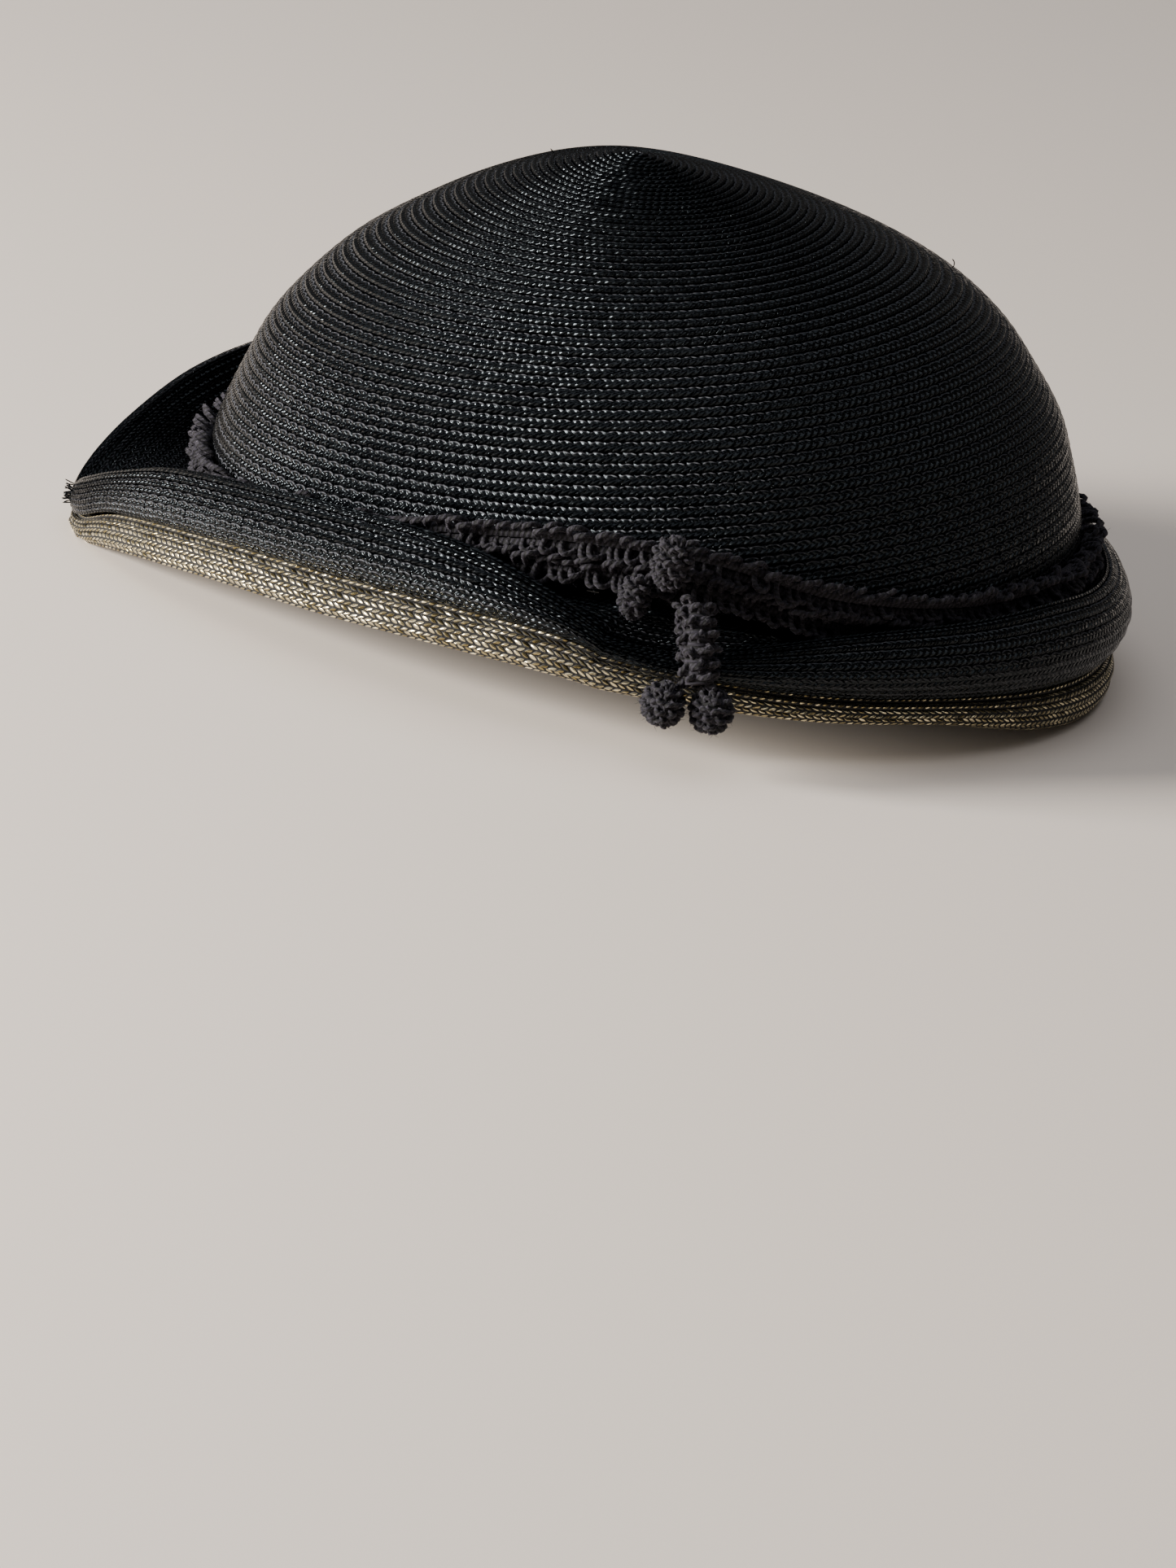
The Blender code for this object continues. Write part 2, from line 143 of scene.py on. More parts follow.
STATIONS = (
    Station(0, 0.51, 0.29, 0.17, 0.00, 0.05, 0.30),
    Station(10, 0.51, 0.40, 0.25, 0.00, 0.05, 0.40),
    Station(20, 0.52, 0.58, 0.52, 0.24, 0.05, 0.55),
    Station(30, 0.58, 0.77, 0.71, 0.47, 0.05, 0.70),
    Station(40, 0.69, 0.88, 0.85, 0.67, 0.05, 0.85),
    Station(52, 0.81, 0.97, 0.95, 0.82, 0.05, 1.00),
    Station(66, 0.94, 1.00, 1.00, 0.97, 0.40, 1.00),
    Station(80, 1.00, 0.90, 0.98, 1.00, 0.90, 1.00),
    Station(96, 0.98, 0.84, 0.81, 0.87, 1.00, 1.00),
    Station(113, 0.86, 0.80, 0.71, 0.70, 0.30, 1.00),
    Station(130, 0.79, 0.81, 0.65, 0.58, 0.15, 1.00),
    Station(148, 0.78, 0.83, 0.57, 0.18, 0.15, 1.00),
    Station(162, 0.79, 0.78, 0.52, 0.00, 0.15, 0.95),
    Station(180, 0.79, 0.75, 0.46, 0.00, 0.15, 0.95),
)


def smooth_table(places: Sequence[float], values: Sequence[float], at: np.ndarray) -> np.ndarray:
    """A smooth curve through the rows of a table.

    Args:
        places: where the rows stand, rising.
        values: the value of each row.
        at: the places to read.

    Returns:
        The value at each place.
    """
    x = np.asarray(places, float)
    y = np.asarray(values, float)
    slope = np.zeros(len(x))
    slope[1:-1] = (y[2:] - y[:-2]) / (x[2:] - x[:-2])
    row = np.clip(np.searchsorted(x, at, side="right") - 1, 0, len(x) - 2)
    span = x[row + 1] - x[row]
    t = (at - x[row]) / span
    level = y[row] * (2 * t**3 - 3 * t**2 + 1) + y[row + 1] * (3 * t**2 - 2 * t**3)
    lean = slope[row] * (t**3 - 2 * t**2 + t) + slope[row + 1] * (t**3 - t**2)
    return level + lean * span


def smooth_line(points: np.ndarray, steps: int) -> np.ndarray:
    """Smooth lines through a few points each.

    Args:
        points: lines by points by 3.
        steps: how many steps to draw between two points.

    Returns:
        The finer lines, in the same order.
    """
    before = np.concatenate([points[:, :1], points[:, :-1]], axis=1)
    after = np.concatenate([points[:, 1:], points[:, -1:]], axis=1)
    lean = (after - before) / 2
    t = np.arange(steps).reshape(1, 1, -1, 1) / steps
    first, second = points[:, :-1, None], points[:, 1:, None]
    lean_first, lean_second = lean[:, :-1, None], lean[:, 1:, None]
    drawn = first * (2 * t**3 - 3 * t**2 + 1) + second * (3 * t**2 - 2 * t**3)
    drawn = drawn + lean_first * (t**3 - 2 * t**2 + t) + lean_second * (t**3 - t**2)
    drawn = drawn.reshape(points.shape[0], -1, 3)
    return np.concatenate([drawn, points[:, -1:]], axis=1)


def line_lengths(points: np.ndarray) -> np.ndarray:
    """Length walked along each line up to each of its points."""
    steps = np.linalg.norm(np.diff(points, axis=-2), axis=-1)
    start = np.zeros(steps.shape[:-1] + (1,))
    return np.concatenate([start, np.cumsum(steps, axis=-1)], axis=-1)


def points_at(places: float | np.ndarray, walked: np.ndarray, line: np.ndarray) -> np.ndarray:
    """Points of a line at lengths walked along it."""
    return np.stack([np.interp(places, walked, line[:, axis]) for axis in range(3)], axis=-1)


def smooth_share(values: np.ndarray, start: float, end: float) -> np.ndarray:
    """A share that rises smoothly from 0 at the start to 1 at the end."""
    share = np.clip((values - start) / (end - start), 0.0, 1.0)
    return share * share * (3 - 2 * share)


def unit(vectors: np.ndarray) -> np.ndarray:
    """The vectors at length one."""
    return vectors / np.maximum(np.linalg.norm(vectors, axis=-1, keepdims=True), 1e-12)


@dataclass(frozen=True)
class HatForm:
    """The hat's sizes and the lines that its braid follows. The sizes are those of its solids."""

    crown_length: float = 0.2080
    crown_width: float = 0.1698
    crown_top: float = 0.1112
    tip_forward: float = 0.0150
    tip_roundness: float = 0.65
    row_lean: float = math.radians(9.8)
    row_level: float = 0.0300
    wall: float = 0.0012
    seam_gap: float = 0.0003
    nest_drop: float = 0.0010
    ridge_front: float = 0.1338
    ridge_back: float = 0.1122
    ridge_half_width: float = 0.0950
    border_front: float = 0.1350
    border_back: float = 0.1163
    border_half_width: float = 0.0990
    widest_forward: float = 0.0097
    front_sharpness: float = 1.47
    valley: float = 0.0304
    ridge: float = 0.0396
    border: float = 0.0246
    rim_lift: float = 0.0157
    ridge_bend: float = 0.0024
    upper_bulge: float = 0.0032
    lower_bulge: float = 0.0016
    tuck: float = 0.0028
    curl: float = 0.0058
    rest_width: float = 0.0030
    dent_turn: float = 96.0
    dent_spread: float = 15.0
    dent_depth: float = 0.0085
    border_raise: float = 0.0018
    flare_turn: float = 316.0
    flare_spread: float = 14.0
    flare_height: float = 0.0026
    band_thickness: float = 0.0048
    band_height: float = 0.0128
    band_perch: float = 0.0040

    @property
    def axis(self) -> np.ndarray:
        """Where the crown's upright axis stands in plan, read from the crown's own solid."""
        low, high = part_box("crown")
        return np.array([(low.x + high.x) / 2, (low.y + high.y) / 2])

    @property
    def crown_outline(self) -> Outline:
        """The crown's widest outline."""
        return Outline(self.crown_length / 2, self.crown_length / 2, self.crown_width / 2)

    @property
    def ridge_outline(self) -> Outline:
        """Plan of the upper brim's ridge."""
        ahead = self.widest_forward
        reach = (self.ridge_front - ahead, self.ridge_back + ahead, self.ridge_half_width)
        return Outline(*reach, ahead, self.front_sharpness)

    @property
    def border_outline(self) -> Outline:
        """Plan of the line where black meets gold."""
        ahead = self.widest_forward
        reach = (self.border_front - ahead, self.border_back + ahead, self.border_half_width)
        return Outline(*reach, ahead, self.front_sharpness)

    def share(self, column: str, turns: np.ndarray) -> np.ndarray:
        """A column of the brim's table at each turn. Both sides of the hat are alike."""
        half = turns % 360.0
        half = np.where(half > 180.0, 360.0 - half, half)
        return smooth_table([s.turn for s in STATIONS], [getattr(s, column) for s in STATIONS], half)

    def swelling(self, turns: np.ndarray, middle: float, spread: float) -> np.ndarray:
        """A smooth share that is 1 at one turn and fades away to both sides."""
        return np.exp(-(((turns % 360.0 - middle) / spread) ** 2))

    def border_height(self, turns: np.ndarray) -> np.ndarray:
        """Height of the line where black meets gold, drawn up a little beside the dent."""
        beside = self.dent_turn - self.dent_spread
        raised = self.border_raise * self.swelling(turns, beside, self.dent_spread * 1.5)
        return self.border * self.share("border", turns) + raised

    def ridge_height(self, turns: np.ndarray) -> np.ndarray:
        """Height of the upper brim's ridge, with the dent under the tie and the flare on the far side."""
        dent = self.dent_depth * self.swelling(turns, self.dent_turn, self.dent_spread)
        flare = self.flare_height * self.swelling(turns, self.flare_turn, self.flare_spread)
        return self.ridge * self.share("ridge", turns) - dent + flare

    def plan(self, outline: Outline, turns: np.ndarray, height: float | np.ndarray) -> np.ndarray:
        """Points of a plan outline at a height above the floor.

        Args:
            outline: the outline to walk round.
            turns: the turns to place points at.
            height: one height, or one for each turn.

        Returns:
            One point for each turn.
        """
        c, s = np.cos(np.radians(turns)), np.sin(np.radians(turns))
        power = np.where(c > 0, 2.0 / outline.sharpness, 1.0)
        x = outline.side * np.sign(s) * np.abs(s) ** power
        ahead = -outline.front * np.abs(c) ** power
        along = np.where(c > 0, ahead, outline.back * np.abs(c))
        heights = np.broadcast_to(height, turns.shape)
        return np.stack([self.axis[0] + x, self.axis[1] - outline.forward + along, heights], axis=-1)

    def between(self, first: np.ndarray, second: np.ndarray, share: float | np.ndarray, height) -> np.ndarray:
        """Points part of the way from one plan point to another, at their own height."""
        points = first + (second - first) * np.reshape(share, (-1, 1))
        points[:, 2] = height
        return points

    def crown_foot_outline(self) -> Outline:
        """Outline of the crown's lower edge."""
        return self.crown_outline.scaled(CROWN_SECTIONS[0].reach)

    def band_outline(self, offset: float = 0.0) -> Outline:
        """Outline through the middle of the band's thickness, or set outwards from it."""
        return self.crown_outline.grown(self.seam_gap + self.band_thickness / 2 + offset)

    def trough(self, turns: np.ndarray, height: np.ndarray) -> np.ndarray:
        """Where the brim's floor ends and its inner slope begins, just outside the band."""
        return self.plan(self.band_outline(self.band_thickness / 2 + self.seam_gap), turns, height)

    def crown_lines(self, turns: np.ndarray, steps: int) -> np.ndarray:
        """Lines of the crown's outer face from its tip down to its foot.

        Args:
            turns: the turns to draw a line at.
            steps: how many points each line has.

        Returns:
            Turns by points by 3.
        """
        rise = 1.0 - np.linspace(0.0, 1.0, steps) ** 1.3
        levels = [s.height for s in CROWN_SECTIONS]
        reach = smooth_table(levels, [s.reach for s in CROWN_SECTIONS], rise)
        last = rise > levels[-2]
        reach[last] = CROWN_SECTIONS[-2].reach * ((1 - rise[last]) / (1 - levels[-2])) ** self.tip_roundness
        forward = smooth_table(levels, [s.forward for s in CROWN_SECTIONS], rise)
        foot = self.valley * self.share("valley", turns) + self.seam_gap
        lines = []
        for level, width, shift in zip(rise, reach, forward):
            height = foot + (self.crown_top - foot) * level
            points = self.plan(self.crown_outline.scaled(width), turns, height)
            points[:, 1] -= self.tip_forward * shift
            lines.append(points)
        return np.stack(lines, axis=1)

    def upper_lines(self, turns: np.ndarray) -> np.ndarray:
        """Points of the upper brim's top face from the head opening out to its lower edge."""
        valley = self.valley * self.share("valley", turns)
        ridge = self.ridge_height(turns)
        border = self.border_height(turns)
        roll = self.share("roll", turns)
        opening = self.plan(self.crown_foot_outline().grown(-self.wall), turns, valley)
        trough = self.trough(turns, valley)
        crest = self.plan(self.ridge_outline, turns, ridge)
        edge = self.plan(self.border_outline, turns, border)
        full = self.plan(self.border_outline.grown(self.upper_bulge * roll), turns, border)
        width = np.linalg.norm((crest - trough)[:, :2], axis=1)

        def bend(across: float, drop: float) -> np.ndarray:
            """Points of the bend just inside the ridge, never below the straight slope up to it."""
            share = 1.0 - across * self.ridge_bend / width
            straight = valley + (ridge - valley) * share
            return self.between(trough, crest, share, np.maximum(ridge - drop * self.ridge_bend, straight))

        inner = bend(0.97, 0.74)
        outer_share = 0.6 * self.ridge_bend / np.linalg.norm((full - crest)[:, :2], axis=1)
        rise = ridge - border
        points = [
            opening,
            trough,
            self.between(trough, inner, 0.35, valley + (inner[:, 2] - valley) * 0.20),
            inner,
            bend(0.50, 0.14),
            crest,
            self.between(crest, full, outer_share, ridge - 0.2 * self.ridge_bend),
            self.between(crest, full, 0.66, border + rise * 0.82),
            self.between(edge, full, 1.0, border + rise * 0.50),
            self.between(edge, full, 0.72, border + rise * 0.20),
            edge,
        ]
        return np.stack(points, axis=1)

    def lower_lines(self, turns: np.ndarray) -> np.ndarray:
        """Points of the lower brim's outer face from the head opening out and round its roll."""
        valley = self.valley * self.share("valley", turns)
        border = self.border_height(turns)
        rim = np.maximum(0.0, self.rim_lift * self.share("lift", turns))
        bulge = self.lower_bulge * self.share("roll", turns)
        seat = self.wall + self.seam_gap
        hidden = border - seat * 0.25
        drop = rim - border
        outline = self.border_outline
        opening = self.plan(self.crown_foot_outline().grown(-self.wall), turns, valley - seat)
        trough = self.trough(turns, valley - seat - self.nest_drop * 0.5)
        tucked = self.plan(outline.grown(-self.tuck), turns, hidden)
        slope = trough[:, 2] + (hidden - trough[:, 2]) * 0.7 - self.nest_drop
        points = [
            opening,
            trough,
            self.between(trough, tucked, 0.6, slope),
            tucked,
            self.plan(outline.grown(bulge * 0.2), turns, border + drop * 0.24),
            self.plan(outline.grown(bulge), turns, border + drop * 0.52),
            self.plan(outline.grown(bulge * 0.6), turns, border + drop * 0.84),
            self.plan(outline.grown(-self.lower_bulge), turns, rim),
            self.plan(outline.grown(-self.lower_bulge - self.rest_width), turns, rim),
            self.plan(outline.grown(-self.curl), turns, rim + self.rest_width * 0.3),
        ]
        return np.stack(points, axis=1)

    def band_height_at(self, turns: np.ndarray) -> np.ndarray:
        """Height of the band's middle."""
        seat = self.valley * self.share("valley", turns) + self.seam_gap
        return seat + self.band_perch * self.share("perch", turns) + self.band_height / 2


# Mesh helpers


def deselect_all() -> None:
    """Leave nothing selected and nothing active."""
    for obj in bpy.context.selected_objects:
        obj.select_set(False)
    bpy.context.view_layer.objects.active = None


def make_active(obj: Piece) -> None:
    """Select one object alone and make it the active one."""
    deselect_all()
    obj.select_set(True)
    bpy.context.view_layer.objects.active = obj


def mesh_object(name: str, points: np.ndarray, faces: np.ndarray, uv: np.ndarray, layer: str) -> Piece:
    """An object from points and four-sided faces.

    Args:
        name: the piece's name.
        points: the points, in metres.
        faces: four point numbers a face.
        uv: a pattern place for each corner of each face.
        layer: the name of the pattern's map.

    Returns:
        The object, linked to the scene.
    """
    mesh = bpy.data.meshes.new(name)
    mesh.vertices.add(len(points))
    mesh.vertices.foreach_set("co", points.astype(np.float32).ravel())
    mesh.loops.add(faces.size)
    mesh.loops.foreach_set("vertex_index", faces.astype(np.int32).ravel())
    mesh.polygons.add(len(faces))
    mesh.polygons.foreach_set("loop_start", np.arange(0, faces.size, 4, dtype=np.int32))
    mesh.update(calc_edges=True)
    mesh.uv_layers.new(name=layer)
    mesh.uv_layers[layer].data.foreach_set("uv", uv.astype(np.float32).ravel())
    obj = bpy.data.objects.new(name, mesh)
    bpy.context.scene.collection.objects.link(obj)
    return obj


def apply_wall(obj: Piece, wall: float) -> None:
    """Give an open skin its thickness, on the side away from its face."""
    solid = obj.modifiers.new("Wall", "SOLIDIFY")
    solid.thickness = wall
    solid.offset = -1.0
    make_active(obj)
    bpy.ops.object.modifier_apply(modifier=solid.name)


def smooth_shade(obj: Piece, angle: float) -> None:
    """Shade round where neighbouring faces meet at less than the angle, in degrees."""
    make_active(obj)
    bpy.ops.object.shade_smooth_by_angle(angle=math.radians(angle))


def settle(obj: Piece, slot: Slot, material: Material, *nodes: str) -> Piece:
    """Give a finished piece its material and its place on the hat.

    Args:
        obj: the piece.
        slot: not used.
        material: its material.
        nodes: the solids that it stands for.

    Returns:
        The piece.
    """
    obj.data.materials.clear()
    obj.data.materials.append(material)
    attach(obj, BODY)
    if nodes:
        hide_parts(*nodes)
    triangles = sum(len(face.vertices) - 2 for face in obj.data.polygons)
    log.info("%s: %d triangles", obj.name, triangles)
    return obj


@dataclass(frozen=True)
class RowPoint:
    """One point of a row's section: its share of the row's width and its depth below the hat's face."""

    share: float
    depth: float


# Each row's lower edge stands out over the row below it, like a shingle
ROW_PROFILE = (
    RowPoint(0.00, 0.46 * MM),
    RowPoint(0.30, 0.03 * MM),
    RowPoint(0.80, -0.28 * MM),
    RowPoint(1.00, 0.02 * MM),
)


@dataclass(frozen=True)
class BraidedShell:
    """A shell of straw braid sewn row to row. Its map holds millimetres along a row and the row's number."""

    name: str
    sewing: Sewing
    first_row: int
    last_row: int
    wall: float
    profile: tuple[RowPoint, ...] = ROW_PROFILE
    layer: str = "braid"
    row_end: float = 0.995
    weld: float = 0.01 * MM
    crease: float = 38.0

    def build(self, lines: np.ndarray, rows: np.ndarray) -> Piece:
        """Lay the rows on a surface.

        Args:
            lines: lines that run across the rows, one for each column, closed round the hat.
            rows: the row number at each point of each line, rising along the line.

        Returns:
            The shell as an object.
        """
        columns = len(lines)
        around = np.roll(lines, -1, axis=0) - np.roll(lines, 1, axis=0)
        outward = unit(np.cross(np.gradient(lines, axis=1), around))
        count = self.last_row - self.first_row
        shares = np.array([p.share for p in self.profile])
        depths = np.array([p.depth for p in self.profile])
        start = np.arange(count)[:, None] + self.first_row
        places = np.zeros((count, columns, len(shares), 3))
        inside = np.zeros((count, columns), bool)
        for c in range(columns):
            shift = c / columns if self.sewing is Sewing.SPIRAL else 0.0
            wanted = start + shift + shares[None, :]
            inside[:, c] = (wanted[:, 0] < rows[c, -1]) & (wanted[:, -1] > rows[c, 0])
            for axis in range(3):
                face = np.interp(wanted, rows[c], lines[c, :, axis])
                out = np.interp(wanted, rows[c], outward[c, :, axis])
                places[:, c, :, axis] = face - out * depths[None, :]
        points, faces, uv = self.stitched(places, inside)
        obj = mesh_object(self.name, points, faces, uv, self.layer)
        make_active(obj)
        bpy.ops.object.mode_set(mode="EDIT")
        bpy.ops.mesh.select_all(action="SELECT")
        bpy.ops.mesh.remove_doubles(threshold=self.weld)
        bpy.ops.mesh.delete_loose()
        bpy.ops.object.mode_set(mode="OBJECT")
        apply_wall(obj, self.wall)
        smooth_shade(obj, self.crease)
        return obj

    def stitched(self, places: np.ndarray, inside: np.ndarray) -> tuple[np.ndarray, np.ndarray, np.ndarray]:
        """Faces between neighbouring columns and rows, and their pattern places.

        Args:
            places: rows by columns by section points by 3.
            inside: which columns of each row lie on the shell.

        Returns:
            Points, faces and the map.
        """
        count, columns, width, _ = places.shape
        points = places.reshape(-1, 3)
        strip = places[:, :, width // 2].reshape(-1, 3)
        here = np.arange(count * columns)
        if self.sewing is Sewing.SPIRAL:
            there = here + 1
        else:
            there = here - here % columns + (here + 1) % columns
        real = there < len(here)
        here, there = here[real], there[real]
        steps = np.linalg.norm(strip[there] - strip[here], axis=1)
        if self.sewing is Sewing.SPIRAL:
            ends = np.cumsum(steps)
        else:
            ends = np.cumsum(steps.reshape(count, columns), axis=1).ravel()
        starts = ends - steps
        row = here // columns
        faces, uv = [], []
        shares = [p.share for p in self.profile]
        kept = inside.reshape(-1)[here]
        joined = kept & (there + columns < count * columns)
        for j, share in enumerate(shares):
            last = j == width - 1
            keep = joined if last else kept
            near, far = here[keep], there[keep]
            upper_near = (near + columns) * width if last else near * width + j + 1
            upper_far = (far + columns) * width if last else far * width + j + 1
            faces.append(np.stack([near * width + j, far * width + j, upper_far, upper_near], axis=1))
            low_v = row[keep] + min(share, self.row_end)
            high_v = row[keep] + (self.row_end if last else min(shares[j + 1], self.row_end))
            u0, u1 = starts[keep] / MM, ends[keep] / MM
            uv.append(np.stack([u0, low_v, u1, low_v, u1, high_v, u0, high_v], axis=1))
        return points, np.concatenate(faces)[:, ::-1], np.concatenate(uv).reshape(-1, 4, 2)[:, ::-1]


@dataclass(frozen=True)
class Yarn:
    """A round yarn swept along a line. Its map holds millimetres along it and the share of a turn round it."""

    radius: float
    sides: int = 5
    layer: str = "yarn"

    def swept(self, line: np.ndarray) -> tuple[np.ndarray, np.ndarray, np.ndarray]:
        """Points, faces and map of the yarn along one line, its ends drawn together to a point."""
        count = len(line)
        along = unit(np.gradient(line, axis=0))
        side = np.zeros_like(line)
        start = np.cross(along[0], (0.0, 0.0, 1.0))
        side[0] = start if np.linalg.norm(start) > 0.1 else np.cross(along[0], (1.0, 0.0, 0.0))
        for i in range(1, count):
            side[i] = side[i - 1] - along[i] * (side[i - 1] @ along[i])
            side[i] /= max(np.linalg.norm(side[i]), 1e-9)
        side[0] /= np.linalg.norm(side[0])
        other = np.cross(along, side)
        angle = np.arange(self.sides) * 2 * np.pi / self.sides
        ring = side[:, None] * np.cos(angle)[None, :, None] + other[:, None] * np.sin(angle)[None, :, None]
        radius = np.full(count, self.radius)
        radius[[0, -1]] = self.radius * 0.05
        points = (line[:, None] + ring * radius[:, None, None]).reshape(-1, 3)
        i, j = np.meshgrid(np.arange(count - 1), np.arange(self.sides), indexing="ij")
        k = (j + 1) % self.sides
        corners = [i * self.sides + j, i * self.sides + k, (i + 1) * self.sides + k, (i + 1) * self.sides + j]
        faces = np.stack(corners, axis=-1).reshape(-1, 4)
        walked = line_lengths(line) / MM
        u0, u1 = walked[i], walked[i + 1]
        v0, v1 = j / self.sides, (j + 1) / self.sides
        uv = np.stack([u0, v0, u0, v1, u1, v1, u1, v0], axis=-1).reshape(-1, 4, 2)
        return points, faces, uv

    def build(self, name: str, lines: Sequence[np.ndarray]) -> Piece:
        """One object from several lines of yarn."""
        points, faces, uv, first = [], [], [], 0
        for line in lines:
            p, f, m = self.swept(line)
            points.append(p)
            faces.append(f + first)
            uv.append(m)
            first += len(p)
        obj = mesh_object(name, np.concatenate(points), np.concatenate(faces), np.concatenate(uv), self.layer)
        smooth_shade(obj, 180.0)
        return obj


@dataclass(frozen=True)
class Fuzz:
    """Short fine fibres that stand out of a yarn."""

    each: float = 0.8 * MM
    length: float = 1.5 * MM
    curl: float = 0.35
    shortest: float = 0.6
    longest: float = 1.2
    hair: Yarn = Yarn(radius=0.05 * MM, sides=3)

    def build(self, name: str, lines: Sequence[np.ndarray], yarn: Yarn, seed: int) -> Piece:
        """Fibres along lines of yarn, one for each step of its length."""
        rng = np.random.default_rng(seed)
        hairs = []
        for line in lines:
            walked = line_lengths(line)
            for place in np.arange(self.each, walked[-1], self.each):
                at = points_at(place, walked, line)
                way = unit(rng.normal(0.0, 1.0, 3))
                curl = rng.normal(0.0, self.curl, 3) * self.length
                reach = self.length * rng.uniform(self.shortest, self.longest)
                root = at + way * yarn.radius * 0.6
                hairs.append(np.stack([root, root + way * reach * 0.5 + curl * 0.4, root + way * reach + curl]))
        return self.hair.build(name, hairs)


@dataclass(frozen=True)
class Stitch:
    """A crochet stitch: its length along the row, its height, its depth and how far its loops lean over."""

    pitch: float
    height: float
    depth: float
    lean: float = 0.17
    points: int = 18
    uneven: float = 1.0
    slip: float = 0.05
    height_change: float = 0.12
    depth_change: float = 0.10
    depth_phase: float = 0.6

    def row(
        self, path: np.ndarray, across: np.ndarray, outward: np.ndarray, phase: float, seed: int
    ) -> np.ndarray:
        """The yarn of one row of looped stitches.

        Args:
            path: the row's middle line.
            across: the direction of a stitch's height at each point of the path.
            outward: the direction of its depth at each point.
            phase: where in a stitch the row begins, in radians.
            seed: picks the small unevenness of the row.

        Returns:
            The yarn's middle line.
        """
        walked = line_lengths(path)
        stitches = max(2, round(walked[-1] / self.pitch))
        count = stitches * self.points
        t = np.linspace(0.0, 2 * np.pi * stitches, count + 1)
        rng = np.random.default_rng(seed)
        knots = np.arange(stitches + 1) * 2 * np.pi
        uneven = [np.interp(t, knots, rng.normal(0.0, self.uneven, stitches + 1)) for _ in range(3)]
        place = walked[-1] * (t / t[-1] + self.lean / stitches * np.sin(2 * (t + phase)))
        place = np.clip(place + self.pitch * self.slip * uneven[0], 0.0, walked[-1])

        rise = self.height / 2 * np.cos(t + phase) * (1 + self.height_change * uneven[1])
        out = self.depth / 2 * np.cos(2 * (t + phase) + self.depth_phase)
        out = out + self.depth * self.depth_change * uneven[2]
        middle, upright, away = (points_at(place, walked, values) for values in (path, across, outward))
        return middle + unit(upright) * rise[:, None] + unit(away) * out[:, None]


# Materials


def linear(code: str) -> tuple[float, float, float, float]:
    """An sRGB hex colour as linear red, green, blue and alpha."""
    parts = [int(code[i : i + 2], 16) / 255 for i in (1, 3, 5)]
    return (*[p / 12.92 if p <= 0.04045 else ((p + 0.055) / 1.055) ** 2.4 for p in parts], 1.0)


@dataclass(frozen=True)
class Wiring:
    """A material being made, with short ways to add nodes to it."""

    material: Material

    @classmethod
    def begin(cls, name: str) -> "Wiring":
        """A new material with its principled shader."""
        material = bpy.data.materials.new(name)
        material.use_nodes = True
        return cls(material)

    def fill(self, socket: Socket, value: Any) -> None:
        """Set a socket to a value, or link another socket to it."""
        if isinstance(value, Socket):
            self.material.node_tree.links.new(value, socket)
        else:
            socket.default_value = value

    def node(self, kind: str, inputs: dict | None = None, **settings: Any) -> bpy.types.Node:
        """Add a shader node with its settings and its filled sockets."""
        added = self.material.node_tree.nodes.new("ShaderNode" + kind)
        for name, value in settings.items():
            setattr(added, name, value)
        for key, value in (inputs or {}).items():
            self.fill(added.inputs[key], value)
        return added

    def math(self, operation: str, *values: Any) -> Socket:
        """The result of a sum on values or sockets."""
        return self.node("Math", dict(enumerate(values)), operation=operation).outputs[0]

    def arch(self, share: Socket) -> Socket:
        """A round hill that stands on 0 and 1 of a share."""
        return self.math("SINE", self.math("MULTIPLY", share, math.pi))

    def remap(self, value: Socket, span: tuple = (0.0, 1.0), onto: tuple = (0.0, 1.0)) -> Socket:
        """A value carried from one span onto another and held inside it."""
        ends = {"From Min": span[0], "From Max": span[1], "To Min": onto[0], "To Max": onto[1]}
        return self.node("MapRange", {"Value": value, **ends}).outputs[0]

    def mix(self, share: Socket, first: Any, second: Any) -> Socket:
        """A colour between two colours."""
        return self.node("Mix", {0: share, 6: first, 7: second}, data_type="RGBA").outputs[2]

    def bump(self, height: Socket, depth: float, strength: float = 1.0) -> Socket:
        """The direction of a face with a relief on it."""
        return self.node("Bump", {"Height": height, "Distance": depth, "Strength": strength}).outputs[0]

    def shade(self, inputs: dict) -> Material:
        """Fill sockets of the principled shader.

        Args:
            inputs: a value or socket for each socket's name.

        Returns:
            The finished material.
        """
        shader = self.material.node_tree.nodes["Principled BSDF"]
        for name, value in inputs.items():
            self.fill(shader.inputs[name], value)
        return self.material


@dataclass(frozen=True)
class Floats:
    """What a plait's nodes give: its relief, its hills from 0 in the gaps to 1, and a chance for each float."""

    height: Socket
    hill: Socket
    chance: Socket


